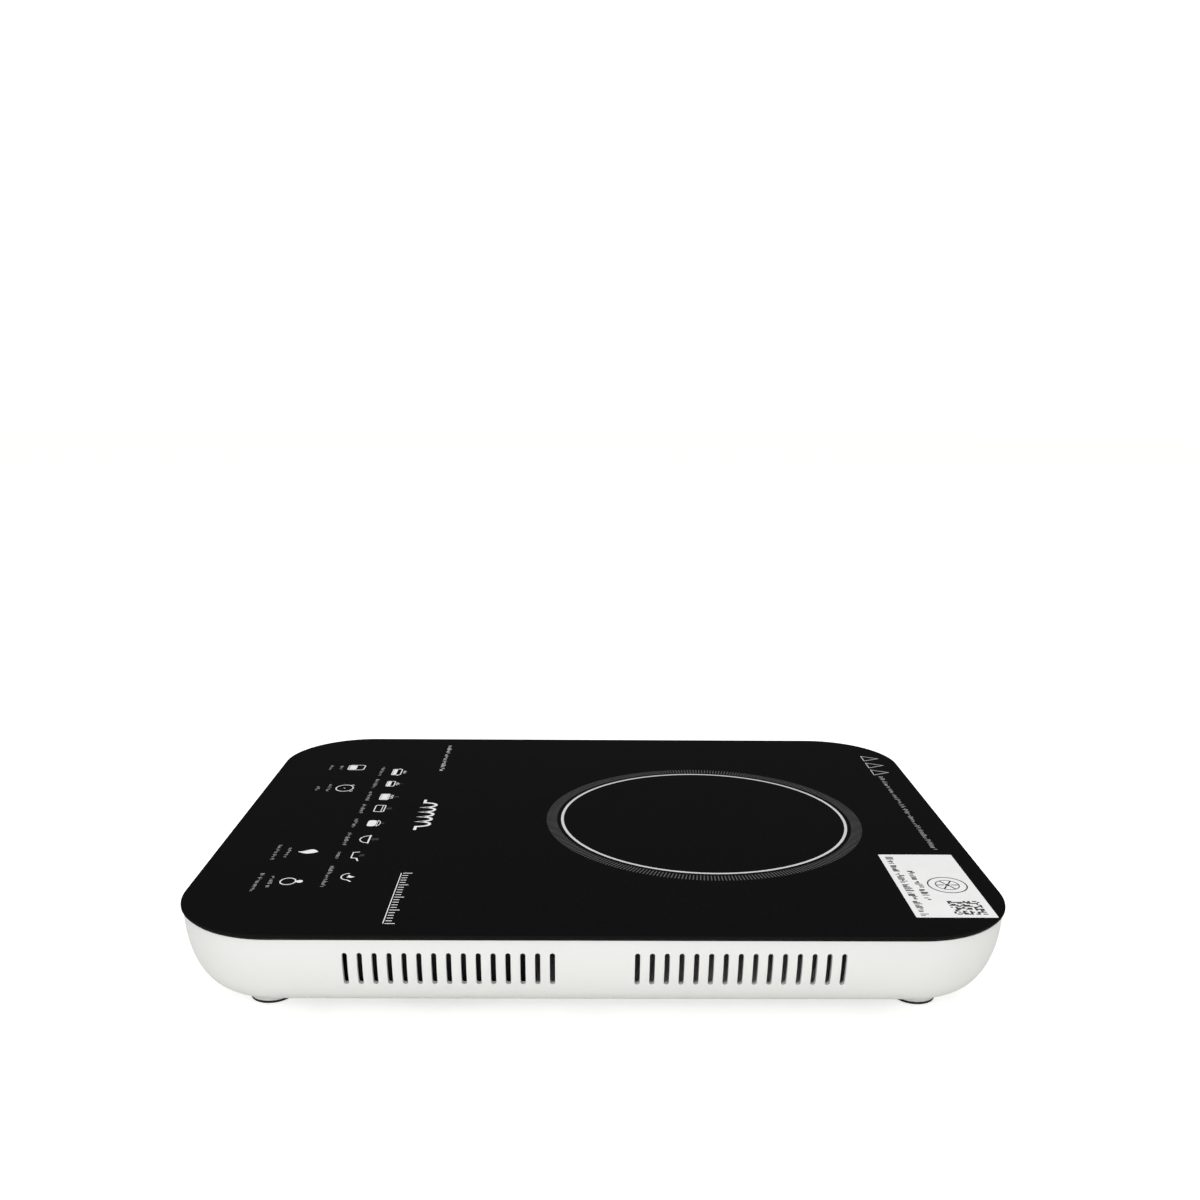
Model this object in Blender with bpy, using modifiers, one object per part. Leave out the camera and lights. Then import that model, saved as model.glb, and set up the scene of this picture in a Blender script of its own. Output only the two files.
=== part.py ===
"""Portable electric induction cooktop, one object for each separate piece.

Metres, +Z up. The origin is under the middle of the cooktop, on the surface it stands on.
The user stands at -Y, where the keys are, and the cooking zone lies towards +Y.
"""

import math

import bmesh
import bpy
from mathutils import Matrix, Vector

GAP = 0.0003  # between pieces that touch

# Whole cooktop
PLATE_WIDTH = 0.280
PLATE_DEPTH = 0.360
PLATE_CORNER = 0.0463
HEIGHT = 0.0435

# Glass plate: a slim visible edge above a wide bevel that is ground from below
GLASS_THICK = 0.004
GLASS_BAND = 0.001  # visible edge, from the top face down to the bevel
GLASS_BEVEL_IN = 0.005
GLASS_UNDERSIDE = HEIGHT - GLASS_THICK

# Housing: the wall's section is a quarter ellipse from the rim in to the flat bottom
WALL = 0.0022
RIM_Z = HEIGHT - 0.00205
RIM_INSET = 0.0011
BOTTOM_Z = 0.008
CURVE_IN = 0.0176
FLOOR_Z = BOTTOM_Z + WALL
WALL_RINGS = 6

# Side vents: two groups in each long wall
SLOTS_IN_GROUP = 15
SLOT_PITCH = 0.00605
SLOT_FIRST_Y = 0.0174
SLOT_WIDTH = 0.0022
SLOT_LOW_Z = HEIGHT - 0.0233
SLOT_HIGH_Z = HEIGHT - 0.0078

# Feet
FOOT_X = 0.104
FOOT_Y = 0.1405
FOOT_RADIUS = 0.0093  # of the pad, below its boss
FOOT_PAD_THICK = 0.0008
FOOT_PEG_RADIUS = 0.0075  # of the plug that the boss holds
FOOT_BOSS_LOW = FOOT_PAD_THICK + GAP
FOOT_BOSS_RADIUS = 0.0095
FOOT_SOCKET_DEPTH = 0.0035

# Screw columns that hold the glass carrier frame to the housing
COLUMN_PLACES = (
    (-0.118, -0.117),
    (0.118, -0.117),
    (-0.122, 0),
    (0.122, 0),
    (-0.118, 0.117),
    (0.118, 0.117),
)
COLUMN_RADIUS = 0.0046
COLUMN_BURY = 0.0004  # into the floor, short of the curved wall's outer face
COLUMN_TOP = 0.0329
COLUMN_SHELF = 0.026
SCREW_RADIUS = 0.0015
SCREW_HEAD_RADIUS = 0.0029
SCREW_HEAD_HEIGHT = 0.0024

# Glass carrier frame
FRAME_LOW = 0.0366
FRAME_HIGH = 0.0382
FRAME_INSET = 0.004
FRAME_WINDOW_X = 0.116
FRAME_BOSS_RADIUS = 0.0042
FRAME_REAR_WINDOW = (-0.084, 0.158)
FRAME_FRONT_WINDOW = (-0.159, -0.095)
BEAD_INSET = 0.007
BEAD_WIDTH = 0.006

# Induction coil
COIL_Y = 0.0565
COIL_INNER = 0.021
COIL_OUTER = 0.084
COIL_LOW = 0.033
COIL_HIGH = 0.038
CARRIER_RADIUS = 0.088
CARRIER_LOW = 0.0302
CARRIER_HIGH = COIL_LOW - GAP
CARRIER_LUG_ORBIT = 0.093
CARRIER_LUG_RADIUS = 0.0075
CARRIER_POST_RADIUS = 0.0040
CARRIER_LUG_ANGLES = (90, 210, 330)
FERRITE_ANGLES = (0, 60, 120, 180, 240, 300)
FERRITE_SIZE = (0.054, 0.011, 0.0047)
FERRITE_START = 0.024
FERRITE_LOW = 0.025
FERRITE_RAIL = 0.0016  # wall of the carrier's pocket on each side of a bar

# Temperature sensor, in its seat in the middle of the coil
SENSOR_SEAT_RADIUS = 0.0086
SENSOR_FLANGE_RADIUS = 0.0120
SENSOR_SEAT_LOW = 0.0280
SENSOR_SEAT_TOP = 0.0384

# Cooling fan
FAN_X = 0.082
FAN_Y = -0.066
FAN_SIDE = 0.080
FAN_LOW = 0.011
FAN_HIGH = 0.027
FAN_DUCT_RADIUS = 0.0376
FAN_POST_SPREAD = 0.034  # of the housing's posts, from the fan's axis along X and Y
FAN_HOLE_SPREAD = 0.0352
FAN_BLADES = 7
FAN_BLADE_TIP = 0.036
FAN_HUB_RADIUS = 0.0145
FAN_HUB_TOP = 0.0248
FAN_HUB_SKIRT = 0.0136
FAN_SHAFT_RADIUS = 0.0015
FAN_BEARING_BORE = 0.0016
FAN_BEARING_RADIUS = 0.0025
FAN_CORE_RADIUS = 0.0135  # the motor's fixed base, in the middle of the frame's struts

# Power board, with its parts standing on it
BOARD_THICK = 0.0016
BOARD_LOW = 0.0162
BOARD_TOP = BOARD_LOW + BOARD_THICK
ON_BOARD = BOARD_TOP + GAP
BOARD_X = (-0.110, 0.036)
BOARD_Y = (-0.150, -0.038)
BOARD_POSTS = ((-0.104, -0.144), (-0.104, -0.044), (0.030, -0.144), (0.030, -0.044))
BOARD_HOLE_RADIUS = 0.0016
BOARD_PIN_RADIUS = 0.0012
HEATSINK_X = (-0.100, -0.034)
HEATSINK_Y = (-0.087, -0.045)
HEATSINK_LOW = 0.0226
HEATSINK_BASE = 0.0030
HEATSINK_TOP = 0.0352
HEATSINK_FINS = 9
HEATSINK_FIN_THICK = 0.0013
POWER_PARTS = {  # low corner, size along X and Y, pins
    "power_transistor": ((-0.092, -0.078), (0.016, 0.021), 3),
    "bridge_rectifier": ((-0.064, -0.078), (0.022, 0.020), 4),
}
BOX_CAPACITORS = {  # low and high X, low and high Y, top
    "resonant_capacitor": ((-0.028, 0.004), (-0.088, -0.070), 0.0335),
    "dc_link_capacitor": ((-0.028, 0.004), (-0.066, -0.048), 0.0345),
    "mains_filter_capacitor": ((-0.064, -0.038), (-0.122, -0.106), 0.0320),
}
STANDING_CANS = {  # place, radius, height
    "electrolytic_capacitor": ((-0.086, -0.113), 0.0063, 0.0140),
    "buzzer": ((0.0200, -0.1400), 0.0065, 0.0090),
}
CHOKE_PLACE = (0.0200, -0.0780)
CHOKE_Z = 0.0266
CHOKE_INNER = 0.0055
CHOKE_OUTER = 0.0135
CHOKE_HALF = 0.0060
TRANSFORMER_X = (-0.024, -0.004)
TRANSFORMER_Y = (-0.124, -0.106)
TRANSFORMER_Z = (0.0215, 0.0310)
FUSE_PLACE = (-0.090, -0.142)
TERMINAL_X = (-0.074, -0.044)
TERMINAL_Y = (-0.148, -0.137)
TERMINAL_TOP = 0.0300

# Touch board, under the front of the glass
TOUCH_LOW = 0.0335
TOUCH_TOP = TOUCH_LOW + BOARD_THICK
ON_TOUCH = TOUCH_TOP + GAP
TOUCH_X = (-0.104, 0.104)
TOUCH_Y = (-0.164, -0.090)
TOUCH_PEGS = ((-0.098, -0.1615), (0.098, -0.1615), (-0.098, -0.0925), (0.098, -0.0925))
KEY_PLACES = {"power": -0.080, "timer": -0.0445, "flame": 0.048, "temperature": 0.084}
KEY_Y = -0.1364
FUNCTION_Y = -0.1105
FUNCTION_FIRST_X = -0.073
FUNCTION_PITCH = 0.0216
FUNCTION_COUNT = 8
DISPLAY_X = (-0.025, 0.025)
DISPLAY_Y = (-0.146, -0.128)
UNDER_GLASS = 0.0388  # top of the display and of the light guide
KEY_COIL_RADIUS = 0.0040
KEY_COIL_TURNS = 4
KEY_THREAD = 0.0003

# Mains cord gland, in the rear wall
GLAND_X = -0.070
GLAND_Z = 0.024
GLAND_BORE = 0.0036
GLAND_NECK = 0.0058
GLAND_FLANGE = 0.0080
GLAND_BOSS_RADIUS = 0.0105
GLAND_BOSS_Y = (0.1698, 0.1764)
GLAND_SEAT_Y = 0.1745
GLAND_FLANGE_THICK = 0.0024
GLAND_TAIL = 0.0060

# Ribbon cable between the two boards
RIBBON_X = -0.0300
RIBBON_Y = -0.1340
RIBBON_SWING = 0.0050
RIBBON_HALF_WIDE = 0.0075
RIBBON_HALF_THICK = 0.0004

FINISHES = {
    "black_glass": ((0.008, 0.008, 0.008), 0.08, 0),
    "white_plastic": ((0.83, 0.84, 0.80), 0.4, 0),
    "dark_rubber": ((0.02, 0.02, 0.02), 0.8, 0),
    "silicone": ((0.55, 0.55, 0.53), 0.6, 0),
    "dark_plastic": ((0.03, 0.03, 0.032), 0.5, 0),
    "carrier_plastic": ((0.10, 0.10, 0.11), 0.55, 0),
    "copper": ((0.72, 0.34, 0.16), 0.4, 1),
    "mica": ((0.62, 0.58, 0.47), 0.5, 0),
    "ferrite": ((0.07, 0.07, 0.075), 0.6, 0),
    "zinc_steel": ((0.62, 0.62, 0.60), 0.35, 1),
    "aluminium": ((0.74, 0.75, 0.76), 0.4, 1),
    "board_green": ((0.03, 0.20, 0.09), 0.5, 0),
    "film_capacitor": ((0.62, 0.50, 0.10), 0.4, 0),
    "component_black": ((0.02, 0.02, 0.022), 0.45, 0),
    "winding_enamel": ((0.45, 0.16, 0.06), 0.35, 1),
    "lead_sleeve": ((0.80, 0.79, 0.74), 0.7, 0),
    "lead_red": ((0.55, 0.04, 0.03), 0.5, 0),
    "ribbon_grey": ((0.45, 0.45, 0.46), 0.5, 0),
    "sintered_bronze": ((0.50, 0.34, 0.18), 0.5, 1),
    "magnet": ((0.10, 0.09, 0.09), 0.6, 0),
}


# Scene, collections and materials


def clear_scene():
    for obj in list(bpy.data.objects):
        bpy.data.objects.remove(obj, do_unlink=True)


def new_collection(name):
    collection = bpy.data.collections.new(name)
    bpy.context.scene.collection.children.link(collection)
    return collection


def finish_of(name):
    found = bpy.data.materials.get(name)
    if found:
        return found
    colour, roughness, metallic = FINISHES[name]
    made = bpy.data.materials.new(name)
    made.use_nodes = True
    shader = made.node_tree.nodes["Principled BSDF"]
    shader.inputs["Base Color"].default_value = (*colour, 1)
    shader.inputs["Roughness"].default_value = roughness
    shader.inputs["Metallic"].default_value = metallic
    return made


clear_scene()
PARTS = new_collection("induction_cooktop")
CUTTERS = new_collection("cutters")


# Modelling helpers


def place(name, mesh, finish, location=(0, 0, 0)):
    """Puts a mesh in the scene as a part, or as a hidden helper if it has no finish."""
    obj = bpy.data.objects.new(name, mesh)
    obj.location = location
    if finish is None:
        obj.hide_render = True
        obj.display_type = "WIRE"
        CUTTERS.objects.link(obj)
    else:
        mesh.materials.clear()
        mesh.materials.append(finish_of(finish))
        PARTS.objects.link(obj)
    return obj


def mesh_from(bm, name, smooth=False):
    bmesh.ops.recalc_face_normals(bm, faces=bm.faces)
    mesh = bpy.data.meshes.new(name)
    bm.to_mesh(mesh)
    bm.free()
    if smooth:
        mesh.shade_smooth()
        mesh.set_sharp_from_angle(angle=math.radians(35))
    return mesh


def add_box(bm, low, high, turn=Matrix()):
    """A box from its low corner to its high corner, then turned about the origin of bm."""
    size = Vector(high) - Vector(low)
    middle = (Vector(high) + Vector(low)) / 2
    stretch = Matrix.Translation(middle) @ Matrix.Diagonal((*size, 1))
    bmesh.ops.create_cube(bm, size=1, matrix=turn @ stretch)


def add_cylinder(bm, x, y, low, high, radius, top_radius=None, sides=12, turn=Matrix()):
    middle = Matrix.Translation((x, y, (low + high) / 2))
    bmesh.ops.create_cone(
        bm,
        cap_ends=True,
        segments=sides,
        radius1=radius,
        radius2=radius if top_radius is None else top_radius,
        depth=high - low,
        matrix=turn @ middle,
    )


def box(name, low, high, finish, bevel=0.0):
    bm = bmesh.new()
    add_box(bm, low, high)
    obj = place(name, mesh_from(bm, name), finish)
    if bevel:
        rounding = obj.modifiers.new("edges", "BEVEL")
        rounding.width = bevel
        rounding.segments = 2
    return obj


def turned(name, profile, finish, location=(0, 0, 0), steps=32, closed=False):
    """A turned piece. Its profile holds (radius, height) and runs down the outer side."""
    mesh = bpy.data.meshes.new(name)
    edges = [(i, i + 1) for i in range(len(profile) - 1)]
    if closed:
        edges.append((len(profile) - 1, 0))
    mesh.from_pydata([(radius, 0, height) for radius, height in profile], edges, [])
    obj = place(name, mesh, finish, location)
    screw = obj.modifiers.new("turn", "SCREW")
    screw.axis = "Z"
    screw.steps = steps
    screw.render_steps = steps
    screw.use_merge_vertices = True
    screw.merge_threshold = 0.00001
    return obj


def ring(name, inner, outer, low, high, finish, location=(0, 0, 0), steps=32):
    profile = [(inner, high), (outer, high), (outer, low), (inner, low)]
    return turned(name, profile, finish, location, steps, closed=True)


def outline(width, depth, corner, steps):
    """Points of a rounded rectangle around the origin, anticlockwise."""
    points = []
    for side_x, side_y, start in ((1, 1, 0), (-1, 1, 90), (-1, -1, 180), (1, -1, 270)):
        for step in range(steps + 1):
            angle = math.radians(start + 90 * step / steps)
            x = side_x * (width / 2 - corner) + corner * math.cos(angle)
            y = side_y * (depth / 2 - corner) + corner * math.sin(angle)
            points.append((x, y))
    return points


def plate_outline(inset, steps=8):
    return outline(PLATE_WIDTH - 2 * inset, PLATE_DEPTH - 2 * inset, PLATE_CORNER - inset, steps)


def loft(name, rings, finish):
    """A closed skin over rings of points that all have the same count, capped at both ends."""
    bm = bmesh.new()
    rows = [[bm.verts.new(point) for point in points] for points in rings]
    count = len(rows[0])
    for lower, upper in zip(rows, rows[1:]):
        for i in range(count):
            j = (i + 1) % count
            bm.faces.new((lower[i], lower[j], upper[j], upper[i]))
    bm.faces.new(rows[0][::-1])
    bm.faces.new(rows[-1])
    return place(name, mesh_from(bm, name, smooth=True), finish)


def as_mesh(obj, name, finish):
    """A curve object made into a mesh object with its caps welded."""
    graph = bpy.context.evaluated_depsgraph_get()
    mesh = bpy.data.meshes.new_from_object(obj.evaluated_get(graph))
    bm = bmesh.new()
    bm.from_mesh(mesh)
    bmesh.ops.remove_doubles(bm, verts=bm.verts, dist=0.000001)
    bm.to_mesh(mesh)
    bm.free()
    bpy.data.objects.remove(obj, do_unlink=True)
    return place(name, mesh, finish)


def flat(name, outlines, low, high, finish):
    """A flat piece from one outer outline and any inner ones."""
    curve = bpy.data.curves.new(name, "CURVE")
    curve.dimensions = "2D"
    curve.fill_mode = "BOTH"
    curve.extrude = (high - low) / 2
    for points in outlines:
        spline = curve.splines.new("POLY")
        spline.points.add(len(points) - 1)
        for slot, (x, y) in zip(spline.points, points):
            slot.co = (x, y, 0, 1)
        spline.use_cyclic_u = True
    obj = bpy.data.objects.new(name, curve)
    PARTS.objects.link(obj)
    bpy.context.view_layer.update()
    made = as_mesh(obj, name, finish)
    made.location.z = (low + high) / 2
    return made


def smooth_path(points, per_span):
    """Points read from a Catmull-Rom curve through the given ones."""
    ends = [Vector(points[0]) * 2 - Vector(points[1])]
    ends += [Vector(point) for point in points]
    ends.append(Vector(points[-1]) * 2 - Vector(points[-2]))
    path = []
    for a, b, c, d in zip(ends, ends[1:], ends[2:], ends[3:]):
        for step in range(per_span):
            t = step / per_span
            first = 2 * b + (c - a) * t
            rest = (2 * a - 5 * b + 4 * c - d) * t**2 + (3 * b - a - 3 * c + d) * t**3
            path.append((first + rest) / 2)
    path.append(ends[-2])
    return path


def wire(name, points, radius, finish, sides=1):
    curve = bpy.data.curves.new(name, "CURVE")
    curve.dimensions = "3D"
    curve.bevel_depth = radius
    curve.bevel_resolution = sides
    curve.use_fill_caps = True
    spline = curve.splines.new("POLY")
    spline.points.add(len(points) - 1)
    for slot, point in zip(spline.points, points):
        slot.co = (*point, 1)
    obj = bpy.data.objects.new(name, curve)
    curve.materials.append(finish_of(finish))
    PARTS.objects.link(obj)
    return obj


def combine(target, helper, operation, crossed=False):
    """Joins or cuts with a helper; crossed is for a helper whose own shapes overlap."""
    made = target.modifiers.new(operation.lower(), "BOOLEAN")
    made.operation = operation
    made.solver = "EXACT"
    made.use_self = crossed
    made.object = helper


def helper_from(bm, name):
    return place(name, mesh_from(bm, name), None)


def around_coil(angle):
    """Turns a shape built along +X about the coil's axis."""
    return Matrix.Translation((0, COIL_Y, 0)) @ Matrix.Rotation(math.radians(angle), 4, "Z")


def at_orbit(angle, radius):
    point = around_coil(angle) @ Vector((radius, 0, 0))
    return point.x, point.y


# Glass, carrier frame and housing


def make_glass_plate():
    bevel_z = HEIGHT - GLASS_BAND
    levels = (
        (GLASS_BEVEL_IN, GLASS_UNDERSIDE),
        (0, bevel_z),
        (0, HEIGHT - 0.00045),
        (0.00013, HEIGHT - 0.00013),
        (0.00045, HEIGHT),
    )
    rings = [[(x, y, z) for x, y in plate_outline(inset, 12)] for inset, z in levels]
    loft("glass_plate", rings, "black_glass")


def make_glass_bead():
    outer = plate_outline(BEAD_INSET)
    inner = plate_outline(BEAD_INSET + BEAD_WIDTH)
    flat("glass_bead", (outer, inner), FRAME_HIGH + GAP, GLASS_UNDERSIDE - GAP, "silicone")


def window(span, corner):
    middle = (span[0] + span[1]) / 2
    return [(x, y + middle) for x, y in outline(2 * FRAME_WINDOW_X, span[1] - span[0], corner, 6)]


def make_glass_carrier_frame():
    rear, front = window(FRAME_REAR_WINDOW, 0.034), window(FRAME_FRONT_WINDOW, 0.012)
    outlines = (plate_outline(FRAME_INSET), rear, front)
    frame = flat("glass_carrier_frame", outlines, FRAME_LOW, FRAME_HIGH, "dark_plastic")
    added = bmesh.new()
    for x, y in COLUMN_PLACES:
        add_cylinder(added, x, y, COLUMN_TOP + GAP, FRAME_LOW + 0.0006, FRAME_BOSS_RADIUS)
    for x, y in TOUCH_PEGS:
        add_cylinder(added, x, y, ON_TOUCH, FRAME_LOW + 0.0005, 0.0026, sides=10)
        add_cylinder(added, x, y, TOUCH_LOW - 0.0008, ON_TOUCH + 0.0005, 0.0012, sides=8)
    bored = bmesh.new()
    for x, y in COLUMN_PLACES:
        add_cylinder(bored, x, y, COLUMN_TOP, FRAME_LOW + 0.0003, SCREW_RADIUS + GAP, sides=10)
    combine(frame, helper_from(added, "frame_bosses"), "UNION", crossed=True)
    combine(frame, helper_from(bored, "frame_screw_holes"), "DIFFERENCE")


def wall_level(angle, low, high, inset, reach):
    """Inset and height on the quarter ellipse, from the rim (0 degrees) to the floor (90)."""
    turn = math.radians(angle)
    return inset + reach * (1 - math.cos(turn)), high - (high - low) * math.sin(turn)


def housing_levels():
    """The outer skin from the floor up to the rim, then the inner skin down to the floor."""
    angles = [90 * i / WALL_RINGS for i in range(WALL_RINGS + 1)]
    inner_rim = RIM_Z - 0.6 * WALL
    inner_reach = CURVE_IN - 0.0006
    outer = [wall_level(angle, BOTTOM_Z, RIM_Z, RIM_INSET, CURVE_IN) for angle in angles]
    inner = [wall_level(angle, FLOOR_Z, inner_rim, RIM_INSET + WALL, inner_reach) for angle in angles]
    return outer[::-1] + inner


def add_slot(bm, y, side):
    """One upright vent with round ends, long enough across to pass right through the wall."""
    points = []
    half = SLOT_WIDTH / 2
    for middle_z, start in ((SLOT_HIGH_Z - half, 0), (SLOT_LOW_Z + half, 180)):
        for step in range(3):
            angle = math.radians(start + 90 * step)
            points.append((y + half * math.cos(angle), middle_z + half * math.sin(angle)))
    near, far = side * 0.120, side * 0.145
    first = [bm.verts.new((near, a, b)) for a, b in points]
    second = [bm.verts.new((far, a, b)) for a, b in points]
    for i in range(len(points)):
        j = (i + 1) % len(points)
        bm.faces.new((first[i], first[j], second[j], second[i]))
    bm.faces.new(first[::-1])
    bm.faces.new(second)


def add_grille(bm):
    """Straight intake slots inside a circle below the fan, each split by a middle rib."""
    reach, pitch, half_slot, half_rib = 0.0345, 0.0052, 0.0013, 0.0020
    for row in range(-6, 7):
        y = row * pitch
        half = math.sqrt(reach**2 - y**2)
        for side in (-1, 1):
            ends = sorted((side * half_rib, side * half))
            low = (FAN_X + ends[0], FAN_Y + y - half_slot, BOTTOM_Z - 0.001)
            add_box(bm, low, (FAN_X + ends[1], FAN_Y + y + half_slot, FLOOR_Z + 0.001))


def four_corners(centre_x, centre_y, reach_x, reach_y):
    sides = (-1, 1)
    return [(centre_x + a * reach_x, centre_y + b * reach_y) for a in sides for b in sides]


def gland_axis():
    """Turns a shape built along +Z to lie along +Y on the gland's axis."""
    along_y = Matrix.Rotation(math.radians(-90), 4, "X")
    return Matrix.Translation((GLAND_X, 0, GLAND_Z)) @ along_y


def housing_bosses():
    """What stands on the housing's floor, each buried a little in it, and the cord's collar."""
    bury = BOTTOM_Z + 0.001
    bm = bmesh.new()
    for x, y in four_corners(0, 0, FOOT_X, FOOT_Y):
        add_cylinder(bm, x, y, FOOT_BOSS_LOW, bury, FOOT_BOSS_RADIUS, 0.0112, sides=20)
    for x, y in COLUMN_PLACES:
        add_cylinder(bm, x, y, FLOOR_Z - COLUMN_BURY, COLUMN_TOP, COLUMN_RADIUS)
    for angle in CARRIER_LUG_ANGLES:
        x, y = at_orbit(angle, CARRIER_LUG_ORBIT)
        add_cylinder(bm, x, y, bury, CARRIER_LOW - GAP, CARRIER_POST_RADIUS)
    for x, y in BOARD_POSTS:
        add_cylinder(bm, x, y, bury + 0.0003, BOARD_LOW - GAP, 0.0035, 0.0031, sides=10)
    for x, y in four_corners(FAN_X, FAN_Y, FAN_POST_SPREAD, FAN_POST_SPREAD):
        add_cylinder(bm, x, y, bury + 0.0002, FAN_LOW - GAP, 0.0035, sides=10)
    add_cylinder(bm, 0, 0, *GLAND_BOSS_Y, GLAND_BOSS_RADIUS, sides=24, turn=gland_axis())
    return helper_from(bm, "housing_bosses")


def board_pins():
    bm = bmesh.new()
    for x, y in BOARD_POSTS:
        add_cylinder(bm, x, y, BOARD_LOW - 0.002, BOARD_TOP + 0.001, BOARD_PIN_RADIUS, sides=8)
    return helper_from(bm, "board_pins")


def housing_openings():
    bm = bmesh.new()
    for side in (-1, 1):
        for group in (-1, 1):
            for i in range(SLOTS_IN_GROUP):
                add_slot(bm, group * (SLOT_FIRST_Y + i * SLOT_PITCH), side)
    add_grille(bm)
    for x, y in four_corners(0, 0, FOOT_X, FOOT_Y):
        add_cylinder(bm, x, y, 0, FOOT_BOSS_LOW + FOOT_SOCKET_DEPTH, FOOT_PEG_RADIUS + GAP, sides=20)
    for x, y in COLUMN_PLACES:
        add_cylinder(bm, x, y, 0.006, COLUMN_SHELF, SCREW_HEAD_RADIUS + GAP)
    for angle in CARRIER_LUG_ANGLES:
        x, y = at_orbit(angle, CARRIER_LUG_ORBIT)
        add_cylinder(bm, x, y, 0.022, CARRIER_LOW + 0.001, SCREW_RADIUS + GAP, sides=10)
    outside = PLATE_DEPTH / 2 + 0.001
    seat_radius = GLAND_FLANGE + 2 * GAP
    add_cylinder(bm, 0, 0, GLAND_SEAT_Y, outside, seat_radius, sides=24, turn=gland_axis())
    return helper_from(bm, "housing_openings")


def screw_and_gland_holes():
    """Holes that go on through the floors of the wider ones."""
    bm = bmesh.new()
    low, high = GLAND_BOSS_Y[0] - 0.001, GLAND_SEAT_Y + 0.001
    add_cylinder(bm, 0, 0, low, high, GLAND_NECK + GAP, sides=20, turn=gland_axis())
    for x, y in COLUMN_PLACES:
        low, high = COLUMN_SHELF - 0.001, COLUMN_TOP + 0.001
        add_cylinder(bm, x, y, low, high, SCREW_RADIUS + GAP, sides=10)
    return helper_from(bm, "screw_and_gland_holes")


def make_base_housing():
    rings = [[(x, y, z) for x, y in plate_outline(inset, 6)] for inset, z in housing_levels()]
    housing = loft("base_housing", rings, "white_plastic")
    combine(housing, housing_bosses(), "UNION")
    combine(housing, board_pins(), "UNION")
    combine(housing, housing_openings(), "DIFFERENCE")
    combine(housing, screw_and_gland_holes(), "DIFFERENCE")


def make_feet():
    top = FOOT_BOSS_LOW + FOOT_SOCKET_DEPTH - GAP
    profile = [
        (0, top),
        (FOOT_PEG_RADIUS, top),
        (FOOT_PEG_RADIUS, FOOT_PAD_THICK),
        (FOOT_RADIUS, FOOT_PAD_THICK),
        (FOOT_RADIUS, 0.0003),
        (FOOT_RADIUS - 0.0003, 0),
        (0, 0),
    ]
    for end, side_y in (("front", -1), ("rear", 1)):
        for hand, side_x in (("left", -1), ("right", 1)):
            place_at = (side_x * FOOT_X, side_y * FOOT_Y, 0)
            turned(f"{end}_{hand}_foot", profile, "dark_rubber", place_at, 24)


def screw_profile(head_radius, head_low, head_high, tip):
    """The profile of a screw whose head is at its lower end and whose point is up."""
    return [
        (0, tip),
        (SCREW_RADIUS * 0.4, tip),
        (SCREW_RADIUS, tip - 0.0015),
        (SCREW_RADIUS, head_high),
        (head_radius, head_high),
        (head_radius, head_low + 0.0008),
        (head_radius - 0.0008, head_low),
        (0, head_low),
    ]


def add_cross_recess(screw, name, x, y, face, depth):
    """A cross recess cut into a screw's head, from its face by depth along Z."""
    low, high = sorted((face - depth * 0.5, face + depth))
    bm = bmesh.new()
    add_box(bm, (x - 0.0017, y - 0.0004, low), (x + 0.0017, y + 0.0004, high))
    add_box(bm, (x - 0.0004, y - 0.0017, low), (x + 0.0004, y + 0.0017, high))
    combine(screw, helper_from(bm, name + "_recess"), "DIFFERENCE", crossed=True)


def make_housing_screws():
    head_high = COLUMN_SHELF - GAP
    head_low = head_high - SCREW_HEAD_HEIGHT
    profile = screw_profile(SCREW_HEAD_RADIUS, head_low, head_high, FRAME_LOW - 0.0001)
    for number, (x, y) in enumerate(COLUMN_PLACES, 1):
        name = f"housing_screw_{number}"
        screw = turned(name, profile, "zinc_steel", (x, y, 0), 10)
        add_cross_recess(screw, name, x, y, head_low, 0.0010)


def make_cord_gland():
    """A rubber bush through the rear wall, with a flange on each side of the wall."""
    groove_out, groove_in = GLAND_SEAT_Y + GAP, GLAND_BOSS_Y[0] - GAP
    outer_face, inner_face = groove_out + GLAND_FLANGE_THICK, groove_in - GLAND_TAIL
    profile = [
        (GLAND_BORE, outer_face),
        (GLAND_FLANGE - 0.0012, outer_face),
        (GLAND_FLANGE, outer_face - 0.0012),
        (GLAND_FLANGE, groove_out),
        (GLAND_NECK, groove_out),
        (GLAND_NECK, groove_in),
        (GLAND_FLANGE - 0.0012, groove_in),
        (GLAND_NECK + 0.0004, inner_face),
        (GLAND_BORE, inner_face),
    ]
    gland = turned("cord_gland", profile, "dark_rubber", (GLAND_X, 0, GLAND_Z), 20, closed=True)
    gland.rotation_euler = (math.radians(-90), 0, 0)


# Induction coil


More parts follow.
